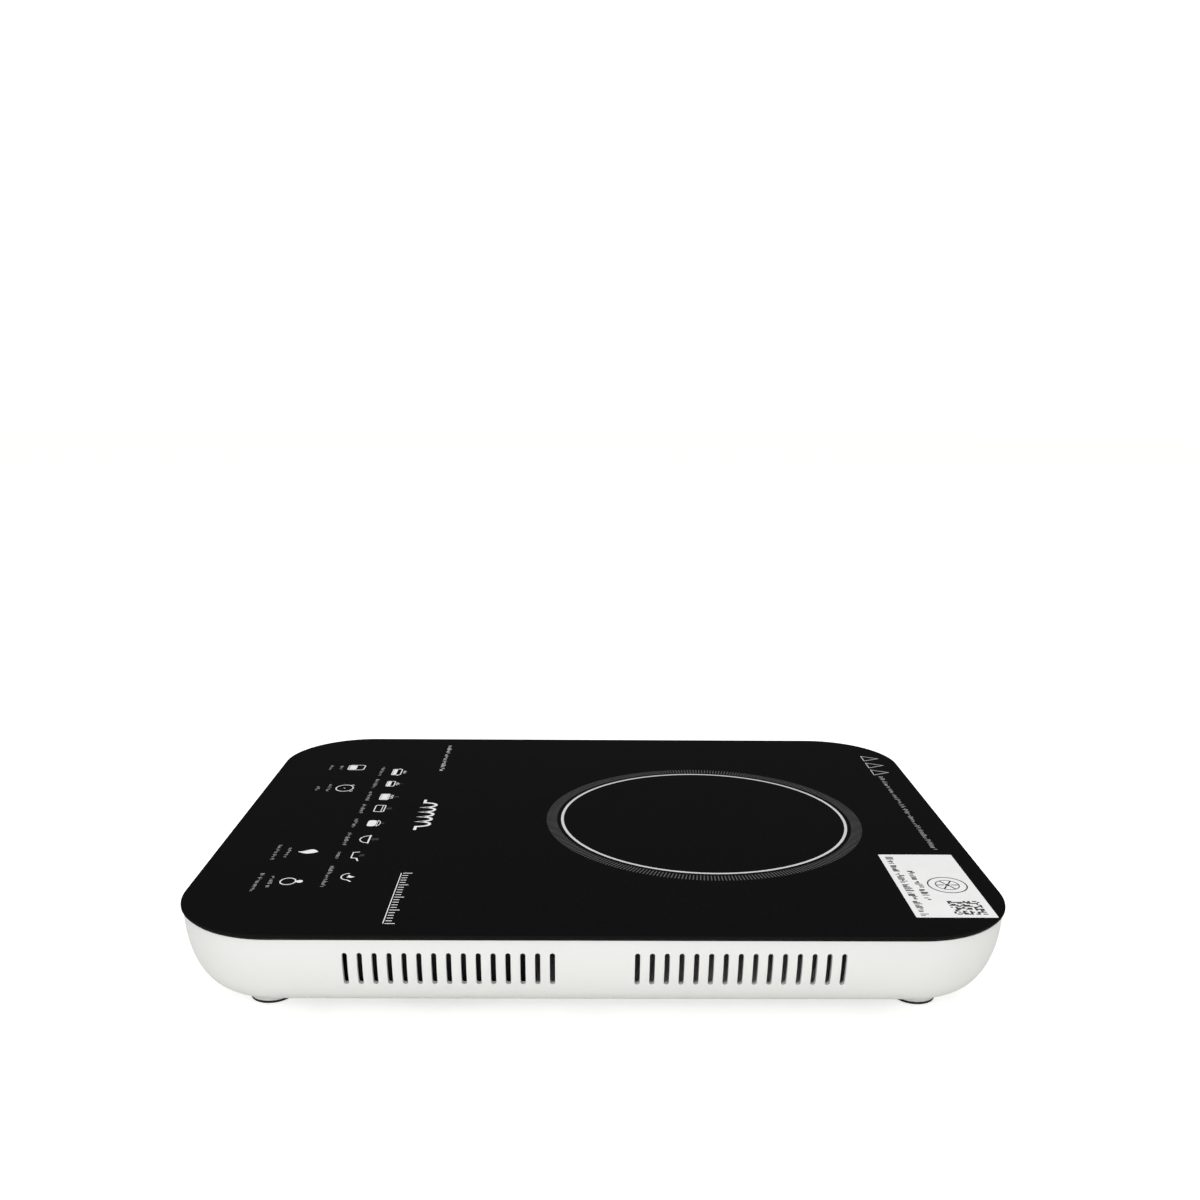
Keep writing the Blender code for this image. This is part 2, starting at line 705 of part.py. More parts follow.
def make_coil_carrier():
    rim, hub = CARRIER_RADIUS - 0.002, 0.015
    profile = [
        (hub, COIL_LOW + 0.003),
        (hub + 0.002, COIL_LOW + 0.003),
        (hub + 0.002, CARRIER_HIGH),
        (rim, CARRIER_HIGH),
        (rim, COIL_LOW + 0.002),
        (CARRIER_RADIUS, COIL_LOW + 0.002),
        (CARRIER_RADIUS, CARRIER_LOW),
        (0.009, CARRIER_LOW),
        (0.009, CARRIER_HIGH),
        (hub, CARRIER_HIGH),
    ]
    carrier = turned("coil_carrier", profile, "carrier_plastic", (0, COIL_Y, 0), 40, closed=True)
    length, width, height = FERRITE_SIZE
    rail_half = width / 2 + FERRITE_RAIL
    rails = bmesh.new()
    pockets = bmesh.new()
    windows = bmesh.new()
    for angle in FERRITE_ANGLES:
        turn = around_coil(angle)
        low = (FERRITE_START - 0.002, -rail_half, FERRITE_LOW + 0.0006)
        high = (FERRITE_START + length + 0.002, rail_half, CARRIER_LOW + 0.0005)
        add_box(rails, low, high, turn)
        low = (FERRITE_START - GAP, -width / 2 - GAP, FERRITE_LOW - 0.001)
        high = (FERRITE_START + length + GAP, width / 2 + GAP, FERRITE_LOW + height + GAP)
        add_box(pockets, low, high, turn)
        low = (0.040, -0.0075, CARRIER_LOW - 0.001)
        add_box(windows, low, (0.078, 0.0075, CARRIER_HIGH + 0.001), around_coil(angle + 30))
    lugs = bmesh.new()
    for angle in CARRIER_LUG_ANGLES:
        x, y = at_orbit(angle, CARRIER_LUG_ORBIT)
        add_cylinder(lugs, x, y, CARRIER_LOW, CARRIER_HIGH - 0.0002, CARRIER_LUG_RADIUS, sides=20)
        low, high = CARRIER_LOW - 0.001, CARRIER_HIGH + 0.001
        add_cylinder(windows, x, y, low, high, SCREW_RADIUS + 0.0004)
    combine(carrier, helper_from(rails, "ferrite_rails"), "UNION")
    combine(carrier, helper_from(lugs, "carrier_lugs"), "UNION")
    combine(carrier, helper_from(pockets, "ferrite_pockets"), "DIFFERENCE")
    combine(carrier, helper_from(windows, "carrier_windows"), "DIFFERENCE")


def make_coil():
    edge = 0.0012
    profile = [
        (COIL_INNER + edge, COIL_HIGH),
        (COIL_OUTER - edge, COIL_HIGH),
        (COIL_OUTER, COIL_HIGH - edge),
        (COIL_OUTER, COIL_LOW + edge),
        (COIL_OUTER - edge, COIL_LOW),
        (COIL_INNER + edge, COIL_LOW),
        (COIL_INNER, COIL_LOW + edge),
        (COIL_INNER, COIL_HIGH - edge),
    ]
    turned("coil_winding", profile, "copper", (0, COIL_Y, 0), 36, closed=True)
    low, high = COIL_HIGH + GAP, COIL_HIGH + 0.0009
    ring("mica_sheet", 0.012, COIL_OUTER + 0.002, low, high, "mica", (0, COIL_Y, 0), 36)
    length, width, height = FERRITE_SIZE
    for number, angle in enumerate(FERRITE_ANGLES, 1):
        bm = bmesh.new()
        low = (FERRITE_START, -width / 2, FERRITE_LOW)
        high = (FERRITE_START + length, width / 2, FERRITE_LOW + height)
        add_box(bm, low, high, around_coil(angle))
        name = f"ferrite_bar_{number}"
        bar = place(name, mesh_from(bm, name), "ferrite")
        bar.modifiers.new("edges", "BEVEL").width = 0.0005
    for number, angle in enumerate(CARRIER_LUG_ANGLES, 1):
        x, y = at_orbit(angle, CARRIER_LUG_ORBIT)
        head_low = CARRIER_HIGH + GAP
        profile = [
            (0, head_low + 0.0020),
            (0.0022, head_low + 0.0020),
            (0.0030, head_low + 0.0010),
            (0.0030, head_low),
            (SCREW_RADIUS, head_low),
            (SCREW_RADIUS, 0.0240),
            (SCREW_RADIUS * 0.4, 0.0224),
            (0, 0.0224),
        ]
        name = f"coil_screw_{number}"
        screw = turned(name, profile, "zinc_steel", (x, y, 0), 10)
        add_cross_recess(screw, name, x, y, head_low + 0.0020, -0.0010)


def make_sensor():
    seat = [
        (0, SENSOR_SEAT_TOP),
        (0.0062, SENSOR_SEAT_TOP),
        (0.0070, SENSOR_SEAT_TOP - 0.0008),
        (0.0070, COIL_LOW + 0.0018),
        (SENSOR_FLANGE_RADIUS, COIL_LOW + 0.0018),
        (SENSOR_FLANGE_RADIUS, COIL_LOW),
        (SENSOR_SEAT_RADIUS, COIL_LOW),
        (SENSOR_SEAT_RADIUS, SENSOR_SEAT_LOW + 0.0010),
        (SENSOR_SEAT_RADIUS - 0.0010, SENSOR_SEAT_LOW),
        (0, SENSOR_SEAT_LOW),
    ]
    turned("sensor_seat", seat, "silicone", (0, COIL_Y, 0), 18)
    low, high = SENSOR_SEAT_TOP + GAP, GLASS_UNDERSIDE - GAP
    cap = [(0, high), (0.0030, high), (0.0046, high - 0.0002), (0.0050, low), (0, low)]
    turned("glass_temperature_sensor", cap, "aluminium", (0, COIL_Y, 0), 16)


# Power board and what stands on it


def make_board(name, span_x, span_y, low, holes):
    top = low + BOARD_THICK
    board = box(name, (span_x[0], span_y[0], low), (span_x[1], span_y[1], top), "board_green")
    bm = bmesh.new()
    for x, y in holes:
        add_cylinder(bm, x, y, low - 0.001, top + 0.001, BOARD_HOLE_RADIUS, sides=10)
    combine(board, helper_from(bm, name + "_holes"), "DIFFERENCE")


def make_heatsink():
    """A base plate above the two power parts, upright fins along X, and a leg at each end."""
    x, y = HEATSINK_X, HEATSINK_Y
    base_high = HEATSINK_LOW + HEATSINK_BASE
    low, high = (x[0], y[0], HEATSINK_LOW), (x[1], y[1], base_high)
    sink = box("heatsink", low, high, "aluminium")
    fins = bmesh.new()
    first = y[0] + HEATSINK_FIN_THICK / 2 + 0.0002
    last = y[1] - HEATSINK_FIN_THICK / 2 - 0.0002
    for i in range(HEATSINK_FINS):
        side = first + (last - first) * i / (HEATSINK_FINS - 1)
        low = (x[0] + 0.0002, side - HEATSINK_FIN_THICK / 2, base_high - 0.0005)
        high = (x[1] - 0.0002, side + HEATSINK_FIN_THICK / 2, HEATSINK_TOP)
        add_box(fins, low, high)
    for end in (x[0] + 0.0004, x[1] - 0.0034):
        low = (end, y[0] + 0.0100, ON_BOARD)
        add_box(fins, low, (end + 0.003, y[1] - 0.0100, HEATSINK_LOW + 0.0005))
    combine(sink, helper_from(fins, "heatsink_fins"), "UNION")


def make_power_part(name, corner, size, pins):
    """A flat power package under the heatsink, with its legs bent down to the board."""
    x, y = corner
    low, high = ON_BOARD + 0.0010, HEATSINK_LOW - GAP
    body = box(name, (x, y, low), (x + size[0], y + size[1], high), "component_black")
    legs = bmesh.new()
    leg_low, leg_high = low + 0.0004, low + 0.0012
    for i in range(pins):
        middle = x + size[0] * (i + 1) / (pins + 1)
        add_box(legs, (middle - 0.0006, y - 0.0040, leg_low), (middle + 0.0006, y + 0.0005, leg_high))
        bend = leg_high - 0.0001
        add_box(legs, (middle - 0.0005, y - 0.0039, ON_BOARD), (middle + 0.0005, y - 0.0031, bend))
    combine(body, helper_from(legs, name + "_legs"), "UNION", crossed=True)


def make_standing_can(name, place_xy, radius, height):
    top = ON_BOARD + height
    profile = [
        (0, top),
        (radius - 0.0006, top),
        (radius, top - 0.0006),
        (radius, ON_BOARD + 0.0034),
        (radius - 0.0005, ON_BOARD + 0.0028),
        (radius, ON_BOARD + 0.0022),
        (radius, ON_BOARD),
        (0, ON_BOARD),
    ]
    turned(name, profile, "component_black", (*place_xy, 0), 18)


def make_filter_choke():
    """A wound ring lying flat on a round foot."""
    edge = 0.0010
    low, high = CHOKE_Z - CHOKE_HALF, CHOKE_Z + CHOKE_HALF
    profile = [
        (CHOKE_OUTER - edge, high),
        (CHOKE_OUTER, high - edge),
        (CHOKE_OUTER, low + edge),
        (CHOKE_OUTER - edge, low),
        (CHOKE_INNER + edge, low),
        (CHOKE_INNER, low + edge),
        (CHOKE_INNER, high - edge),
        (CHOKE_INNER + edge, high),
    ]
    choke = turned("filter_choke", profile, "winding_enamel", (*CHOKE_PLACE, 0), 20, closed=True)
    foot = bmesh.new()
    add_cylinder(foot, *CHOKE_PLACE, ON_BOARD, low + 0.0005, CHOKE_OUTER - 0.0015, sides=14)
    combine(choke, helper_from(foot, "choke_foot"), "UNION")


def make_transformer():
    """A core with its bobbin under it and its windings standing out at both sides."""
    x, y, z = TRANSFORMER_X, TRANSFORMER_Y, TRANSFORMER_Z
    core = box("switching_transformer", (x[0], y[0], z[0]), (x[1], y[1], z[1]), "ferrite", 0.0004)
    bobbin = bmesh.new()
    low = (x[0] + 0.003, y[0] - 0.002, ON_BOARD)
    add_box(bobbin, low, (x[1] - 0.003, y[1] + 0.002, z[0] + 0.0010))
    low = (x[0] + 0.005, y[0] - 0.003, z[0] + 0.0017)
    add_box(bobbin, low, (x[1] - 0.005, y[1] + 0.003, z[1] - 0.0016))
    combine(core, helper_from(bobbin, "transformer_bobbin"), "UNION", crossed=True)


def make_fuse():
    """A glass cartridge lying along X, with a cap at each end."""
    half, radius, cap, cap_long = 0.0100, 0.0024, 0.0028, 0.0048
    profile = [
        (0, half),
        (cap, half),
        (cap, half - cap_long),
        (radius, half - cap_long - 0.0002),
        (radius, -half + cap_long + 0.0002),
        (cap, -half + cap_long),
        (cap, -half),
        (0, -half),
    ]
    fuse = turned("fuse", profile, "zinc_steel", (*FUSE_PLACE, ON_BOARD + cap + 0.0006), 16)
    fuse.rotation_euler = (0, math.radians(90), 0)


def make_terminal_block():
    x, y, top = TERMINAL_X, TERMINAL_Y, TERMINAL_TOP
    block = box("terminal_block", (x[0], y[0], ON_BOARD), (x[1], y[1], top), "white_plastic", 0.0006)
    holes = bmesh.new()
    for i in range(3):
        middle = x[0] + (x[1] - x[0]) * (i + 0.5) / 3
        add_cylinder(holes, middle, (y[0] + y[1]) / 2, top - 0.004, top + 0.001, 0.0028)
    combine(block, helper_from(holes, "terminal_holes"), "DIFFERENCE")


def make_power_board():
    make_board("power_board", BOARD_X, BOARD_Y, BOARD_LOW, BOARD_POSTS)
    make_heatsink()
    for name, (corner, size, pins) in POWER_PARTS.items():
        make_power_part(name, corner, size, pins)
    for name, (x, y, top) in BOX_CAPACITORS.items():
        box(name, (x[0], y[0], ON_BOARD), (x[1], y[1], top), "film_capacitor", 0.0008)
    for name, (place_xy, radius, height) in STANDING_CANS.items():
        make_standing_can(name, place_xy, radius, height)
    make_filter_choke()
    make_transformer()
    make_fuse()
    make_terminal_block()


# Touch board, display and keys


def make_touch_board():
    make_board("touch_board", TOUCH_X, TOUCH_Y, TOUCH_LOW, TOUCH_PEGS)
    x, y = DISPLAY_X, DISPLAY_Y
    low, high = (x[0], y[0], ON_TOUCH), (x[1], y[1], UNDER_GLASS)
    box("display_module", low, high, "component_black", 0.0004)


def make_light_guide():
    """A bar with one light well below each function symbol."""
    last_x = FUNCTION_FIRST_X + FUNCTION_PITCH * (FUNCTION_COUNT - 1)
    low = (FUNCTION_FIRST_X - 0.008, FUNCTION_Y - 0.0045, ON_TOUCH)
    guide = box("light_guide", low, (last_x + 0.008, FUNCTION_Y + 0.0045, UNDER_GLASS), "dark_plastic")
    holes = bmesh.new()
    for i in range(FUNCTION_COUNT):
        x = FUNCTION_FIRST_X + i * FUNCTION_PITCH
        add_cylinder(holes, x, FUNCTION_Y, ON_TOUCH - 0.001, UNDER_GLASS + 0.001, 0.0020, sides=10)
    combine(guide, helper_from(holes, "light_wells"), "DIFFERENCE")


def make_key_springs():
    """A contact spring from the touch board up to the glass under each key."""
    low, high = ON_TOUCH + KEY_THREAD, GLASS_UNDERSIDE - GAP - KEY_THREAD
    steps_in_turn = 7
    count = KEY_COIL_TURNS * steps_in_turn
    for name, x in KEY_PLACES.items():
        points = []
        for i in range(count + 1):
            angle = 2 * math.pi * i / steps_in_turn
            across = KEY_COIL_RADIUS * math.cos(angle)
            along = KEY_COIL_RADIUS * math.sin(angle)
            points.append((x + across, KEY_Y + along, low + (high - low) * i / count))
        wire(f"{name}_key_spring", points, KEY_THREAD, "zinc_steel", 0)


# Wiring


def make_ribbon_cable():
    """A flat cable from the power board up to the touch board, in a shallow S."""
    low, high = ON_BOARD, TOUCH_LOW - GAP
    corners = ((-1, -1), (1, -1), (1, 1), (-1, 1))
    steps = 10
    rings = []
    for i in range(steps + 1):
        turn = 2 * math.pi * i / steps
        y = RIBBON_Y - RIBBON_SWING * math.sin(turn)
        z = low + (high - low) * i / steps
        slope = -RIBBON_SWING * 2 * math.pi * math.cos(turn) / (high - low)
        across = Vector((0, 1, -slope)).normalized() * RIBBON_HALF_THICK
        if i in (0, steps):
            across = Vector((0, RIBBON_HALF_THICK, 0))
        ring_points = []
        for a, b in corners:
            ring_points.append((RIBBON_X + a * RIBBON_HALF_WIDE, y + b * across.y, z + b * across.z))
        rings.append(ring_points)
    loft("ribbon_cable", rings, "ribbon_grey")


def make_wiring():
    down = Vector((0, 0, -1))
    solder_z = ON_BOARD + 0.0004
    for name, x, start_y, board_x, board_y in (
        ("coil_inner_lead", 0.0040, 0.0080, 0.0140, -0.0480),
        ("coil_outer_lead", -0.0040, -0.0060, -0.0060, -0.0440),
    ):
        start = Vector((x, start_y, COIL_LOW - 0.0004))
        route = [
            start,
            start + down * 0.004,
            (x, start_y - 0.004, 0.0235),
            (x, start_y - 0.012, 0.0212),
            ((x + board_x) / 2, (start_y + board_y) / 2, 0.0208),
            (board_x, board_y + 0.007, 0.0218),
            (board_x, board_y + 0.0005, 0.0206),
            (board_x, board_y, solder_z),
        ]
        wire(name, smooth_path(route, 3), 0.0016, "lead_sleeve")
    route = [
        (0, COIL_Y, 0.0277),
        (0, COIL_Y - 0.001, 0.0240),
        (0, COIL_Y - 0.010, 0.0170),
        (0.0005, 0.020, 0.0150),
        (0.0005, -0.015, 0.0150),
        (0.0030, -0.030, 0.0185),
        (0.0040, -0.0415, 0.0208),
        (0.0040, -0.0425, solder_z),
    ]
    wire("sensor_lead", smooth_path(route, 3), 0.0010, "lead_sleeve")
    route = [
        (FAN_X - FAN_SIDE / 2 - GAP, -0.0955, 0.0200),
        (0.0400, -0.0955, 0.0203),
        (0.0360, -0.0965, 0.0222),
        (0.0310, -0.0980, 0.0208),
        (0.0305, -0.0985, solder_z),
    ]
    wire("fan_lead", smooth_path(route, 3), 0.0012, "lead_red")


# Cooling fan


def fan_strut(angle, low, high, name):
    """A bar right across the duct, on the fan's axis."""
    half = FAN_SIDE / 2 - 0.001
    turn = Matrix.Translation((FAN_X, FAN_Y, 0)) @ Matrix.Rotation(math.radians(angle), 4, "Z")
    bm = bmesh.new()
    add_box(bm, (-half, -0.0020, low), (half, 0.0020, high), turn)
    return helper_from(bm, name)


def make_fan_frame():
    square = [(FAN_X + x, FAN_Y + y) for x, y in outline(FAN_SIDE, FAN_SIDE, 0.005, 3)]
    circle = []
    for i in range(36):
        angle = math.radians(10 * i)
        across, along = FAN_DUCT_RADIUS * math.cos(angle), FAN_DUCT_RADIUS * math.sin(angle)
        circle.append((FAN_X + across, FAN_Y + along))
    frame = flat("fan_frame", (square, circle), FAN_LOW, FAN_HIGH, "dark_plastic")
    tube_radius, tube_bore = 0.0040, FAN_BEARING_RADIUS + GAP
    core_profile = [
        (tube_bore, 0.0220),
        (tube_radius, 0.0220),
        (tube_radius, 0.0130),
        (FAN_CORE_RADIUS, 0.0130),
        (FAN_CORE_RADIUS, FAN_LOW),
        (0, FAN_LOW),
        (0, FAN_LOW + 0.0012),
        (tube_bore, FAN_LOW + 0.0012),
    ]
    core = turned("fan_core", core_profile, None, (FAN_X, FAN_Y, 0), 24, closed=True)
    holes = bmesh.new()
    for x, y in four_corners(FAN_X, FAN_Y, FAN_HOLE_SPREAD, FAN_HOLE_SPREAD):
        add_cylinder(holes, x, y, FAN_LOW - 0.001, FAN_HIGH + 0.001, 0.0019, sides=10)
    combine(frame, fan_strut(30, FAN_LOW + 0.0001, FAN_LOW + 0.0017, "fan_strut"), "UNION")
    combine(frame, fan_strut(120, FAN_LOW + 0.0002, FAN_LOW + 0.0016, "fan_cross_strut"), "UNION")
    combine(frame, core, "UNION")
    combine(frame, helper_from(holes, "fan_corner_holes"), "DIFFERENCE")


def make_fan_impeller():
    """Hub cup and swept blades; its origin is on the fan's axis."""
    top, skirt = FAN_HUB_TOP, FAN_HUB_SKIRT
    bore, collar, inner = FAN_SHAFT_RADIUS + GAP, 0.0036, FAN_HUB_RADIUS - 0.0016
    profile = [
        (bore, top),
        (FAN_HUB_RADIUS - 0.0012, top),
        (FAN_HUB_RADIUS, top - 0.0012),
        (FAN_HUB_RADIUS, skirt),
        (inner, skirt),
        (inner, top - 0.0016),
        (collar, top - 0.0016),
        (collar, top - 0.0026),
        (bore, top - 0.0026),
    ]
    hub = turned("fan_impeller", profile, "dark_plastic", (FAN_X, FAN_Y, 0), 24, closed=True)
    blades = bmesh.new()
    for i in range(FAN_BLADES):
        add_blade(blades, 360 * i / FAN_BLADES)
    helper = helper_from(blades, "fan_blades")
    helper.location = (FAN_X, FAN_Y, 0)
    combine(hub, helper, "UNION")


def add_blade(bm, start):
    """A thin pitched blade, swept back towards its tip."""
    sections = []
    stations, chord_steps = 3, 3
    root = FAN_HUB_RADIUS - 0.0006
    for i in range(stations + 1):
        share = i / stations
        radius = root + (FAN_BLADE_TIP - root) * share
        sweep = 18 * share**1.5
        wide = 40 - 6 * share
        low, high = 0.0146 + 0.0006 * share, 0.0238 - 0.0004 * share
        thick = 0.0011 - 0.0004 * share
        upper, lower = [], []
        for k in range(chord_steps + 1):
            part = k / chord_steps
            angle = math.radians(start + sweep + wide * part)
            height = low + (high - low) * (part + 0.10 * math.sin(math.pi * part))
            x, y = radius * math.cos(angle), radius * math.sin(angle)
            upper.append((x, y, height + thick / 2))
            lower.append((x, y, height - thick / 2))
        sections.append([bm.verts.new(point) for point in upper + lower[::-1]])
    count = len(sections[0])
    for first, second in zip(sections, sections[1:]):
        for k in range(count):
            j = (k + 1) % count
            bm.faces.new((first[k], first[j], second[j], second[k]))
    bm.faces.new(sections[0][::-1])
    bm.faces.new(sections[-1])


def make_fan_motor():
    centre = (FAN_X, FAN_Y, 0)
    ring("fan_magnet_ring", 0.0112, 0.0126, 0.0140, 0.0212, "magnet", centre, 28)
    bearing = (FAN_BEARING_BORE, FAN_BEARING_RADIUS, 0.0131, 0.0215)
    ring("fan_bearing", *bearing, "sintered_bronze", centre, 24)
    shaft = [
        (0, 0.0246),
        (FAN_SHAFT_RADIUS - 0.0002, 0.0246),
        (FAN_SHAFT_RADIUS, 0.0243),
        (FAN_SHAFT_RADIUS, 0.0138),
        (FAN_SHAFT_RADIUS - 0.0003, 0.0133),
        (0, 0.0133),
    ]
    turned("fan_shaft", shaft, "zinc_steel", centre, 24)
    stator = ring("fan_stator", 0.0043, 0.0104, 0.0140, 0.0200, "winding_enamel", centre, 28)
    slots = bmesh.new()
    for angle in (45, 135, 225, 315):
        turn = Matrix.Translation(centre) @ Matrix.Rotation(math.radians(angle), 4, "Z")
        add_box(slots, (0.0064, -0.0014, 0.0130), (0.0120, 0.0014, 0.0210), turn)
    combine(stator, helper_from(slots, "stator_slots"), "DIFFERENCE")


make_glass_plate()
make_glass_bead()
make_glass_carrier_frame()
make_base_housing()
make_feet()
make_housing_screws()
make_cord_gland()
make_coil_carrier()
make_coil()
make_sensor()
make_power_board()
make_touch_board()
make_light_guide()
make_key_springs()
make_ribbon_cable()
make_wiring()
make_fan_frame()
make_fan_impeller()
make_fan_motor()
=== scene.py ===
"""Looks of a portable induction cooktop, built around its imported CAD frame.

Metres, +Z up. The user stands at -Y, where the keys are, and the cooking zone lies towards +Y.
"""

import math
import random

import bmesh
import bpy
from mathutils import Matrix, Vector


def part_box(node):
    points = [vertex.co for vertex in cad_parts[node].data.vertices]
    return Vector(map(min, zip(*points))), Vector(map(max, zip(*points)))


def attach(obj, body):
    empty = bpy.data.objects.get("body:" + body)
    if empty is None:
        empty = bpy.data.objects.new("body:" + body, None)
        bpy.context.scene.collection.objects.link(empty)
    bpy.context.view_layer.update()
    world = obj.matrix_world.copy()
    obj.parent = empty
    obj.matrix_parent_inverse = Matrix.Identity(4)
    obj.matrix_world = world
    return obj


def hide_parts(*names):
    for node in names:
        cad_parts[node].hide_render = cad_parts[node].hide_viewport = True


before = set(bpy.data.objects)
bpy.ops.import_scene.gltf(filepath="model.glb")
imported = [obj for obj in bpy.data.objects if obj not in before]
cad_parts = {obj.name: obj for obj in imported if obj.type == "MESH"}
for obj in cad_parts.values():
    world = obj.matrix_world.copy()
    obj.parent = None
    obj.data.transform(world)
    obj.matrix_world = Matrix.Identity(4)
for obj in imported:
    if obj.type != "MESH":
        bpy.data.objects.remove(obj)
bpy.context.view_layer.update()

BODY = "cooktop_body"
ROTOR = "fan_rotor"
MM = 0.001
GAP = 0.0003
PAST = 0.001  # how far a cutter goes past the faces that it cuts
SHARP = 35  # degrees: sharper bends than this are edges and the rest is smooth

# Plate and glass
PLATE_LOW, PLATE_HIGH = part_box("glass_plate")
HALF_X, HALF_Y = PLATE_HIGH.x, PLATE_HIGH.y
HEIGHT = PLATE_HIGH.z
PLATE_CORNER = 0.0463
CORNER_STEPS = 28
GLASS_TOP = HEIGHT - 0.00012  # leaves room for what is printed and stuck on the glass
GLASS_BAND = 0.001
GLASS_BEVEL_IN = 0.005
GLASS_ARRIS = 0.0004

# Housing: the wall's section is a quarter ellipse from the rim in to the flat bottom
WALL = 0.0022
RIM_Z = HEIGHT - 0.00205
RIM_INSET = 0.0011
RIM_EDGE = 0.00035
BOTTOM_Z = 0.008
CURVE_IN = 0.0176
FLOOR_Z = BOTTOM_Z + WALL
OUTER_RINGS = 24
INNER_RINGS = 12

# Side vents
SLOTS_IN_GROUP = 15
SLOT_PITCH = 0.00605
SLOT_FIRST_Y = 0.0174
SLOT_WIDTH = 0.0022
SLOT_LOW_Z = HEIGHT - 0.0233
SLOT_HIGH_Z = HEIGHT - 0.0078

# Feet and screws
FEET = ("front_left_foot", "front_right_foot", "rear_left_foot", "rear_right_foot")
BOSS_RADIUS = 0.0095
BOSS_FLARE = 0.0040
PAD_THICK = 0.0008
PEG_RADIUS = 0.0075
BOSS_LOW = PAD_THICK + GAP
SOCKET_DEPTH = 0.0035
SCREW_RADIUS = 0.0015
SCREW_HEAD = 0.0029
COLUMN_RADIUS = 0.0046
COLUMN_TOP = 0.0329
COLUMN_SHELF = 0.026
HOUSING_SCREWS = tuple(f"housing_screw_{number}" for number in range(1, 7))
COIL_SCREWS = tuple(f"coil_screw_{number}" for number in range(1, 4))

# Underside
GRILLE_REACH = 0.0345
GRILLE_PITCH = 0.0052
GRILLE_HALF_SLOT = 0.0013
GRILLE_HALF_RIB = 0.0020
GRILLE_RING = (0.0366, 0.0380)
RECESS = ((-0.092, 0.028), (-0.024, 0.070))  # for the blank rating plate
RECESS_DEPTH = 0.0004
RECESS_CORNER = 0.003

# Inside
CARRIER_LOW = 0.0302
COIL_POST = 0.0040
COIL_POST_BORE_LOW = 0.022
FAN_POST = 0.0035
BOARD_POST = (0.0035, 0.0031)  # foot and head
BOARD_PIN = (0.0012, 0.0010)
BOARD_LOW, BOARD_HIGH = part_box("power_board")
BOARD_PIN_IN = 0.006  # from the board's edges
FAN_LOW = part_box("fan_frame")[0]
FAN_HOLE_REACH = 0.034
COIL_INNER = 0.021
COIL_TURNS = 21
WIRE_SHARE = 0.96  # of the spiral's pitch
CHOKE_TURNS = 17
CHOKE_WIRE = 0.00055
CHOKE_RING = (0.0055, 0.0135)
CHOKE_HALF = 0.006
HUB_RADIUS = 0.0145
BLADES = 7
BLADE_TIP = 0.036
BLADE_LOW, BLADE_HIGH = 0.0146, 0.0238

# Gland seat
GLAND_BOSS_RADIUS = 0.0105
GLAND_BOSS_Y = (0.1698, 0.1764)
GLAND_SEAT_Y = 0.1745
GLAND_NECK = 0.0058
GLAND_FLANGE = 0.0080
GLAND_BORE = 0.0036


def middle(node):
    low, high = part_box(node)
    return (low + high) / 2


def places(nodes):
    """Where the nodes' middles are, seen from above."""
    return [tuple(middle(node).xy) for node in nodes]


COIL_CENTRE = middle("coil_winding")
FAN_CENTRE = middle("fan_frame")
GLAND_CENTRE = middle("cord_gland")
BOARD_PINS = [
    (x, y)
    for x in (BOARD_LOW.x + BOARD_PIN_IN, BOARD_HIGH.x - BOARD_PIN_IN)
    for y in (BOARD_LOW.y + BOARD_PIN_IN, BOARD_HIGH.y - BOARD_PIN_IN)
]


class Nodes:
    """Makes the nodes of one tree and the links between them."""

    def __init__(self, tree):
        self.tree = tree

    def link(self, output, target):
        self.tree.links.new(output, target)

    def node(self, kind, values=(), **settings):
        """A new node. Its values go to sockets, by name or number, as constants or as links."""
        made = self.tree.nodes.new(kind)
        for key, value in settings.items():
            setattr(made, key, value)
        for socket, value in dict(values).items():
            if isinstance(value, bpy.types.NodeSocket):
                self.link(value, made.inputs[socket])
            else:
                made.inputs[socket].default_value = value
        return made


# Camera, floor and light


FLOOR_LIFT = 0.58  # keeps the shadows on the white floor light, as a lit table does
DIM_SKY = 0.021


def make_camera():
    """A 37 mm lens at the cooktop's right, a little above the plate, looking across it."""
    place = Vector((0.6108, -0.0051, 0.2661))
    pitch, yaw, roll = 0.1762, -0.01254, 0.0081
    level = math.cos(pitch)
    forward = Vector((-level * math.cos(yaw), -level * math.sin(yaw), -math.sin(pitch)))
    right = Vector((-math.sin(yaw), math.cos(yaw), 0))
    up = right.cross(forward)
    rolled_right = right * math.cos(roll) + up * math.sin(roll)
    rolled_up = up * math.cos(roll) - right * math.sin(roll)
    turn = Matrix((rolled_right, rolled_up, -forward)).transposed().to_4x4()
    data = bpy.data.cameras.new("camera")
    data.sensor_width = 36
    data.lens = 37.2
    data.clip_start = 0.01
    camera = bpy.data.objects.new("camera", data)
    camera.matrix_world = Matrix.Translation(place) @ turn
    bpy.context.scene.collection.objects.link(camera)
    bpy.context.scene.camera = camera


def area_light(name, place, aim, size, power):
    data = bpy.data.lights.new(name, "AREA")
    data.shape = "RECTANGLE"
    data.size, data.size_y = size
    data.energy = power
    light = bpy.data.objects.new(name, data)
    light.location = place
    light.rotation_euler = (Vector(aim) - Vector(place)).to_track_quat("-Z", "Y").to_euler()
    light.visible_camera = False
    light.visible_glossy = False
    bpy.context.scene.collection.objects.link(light)


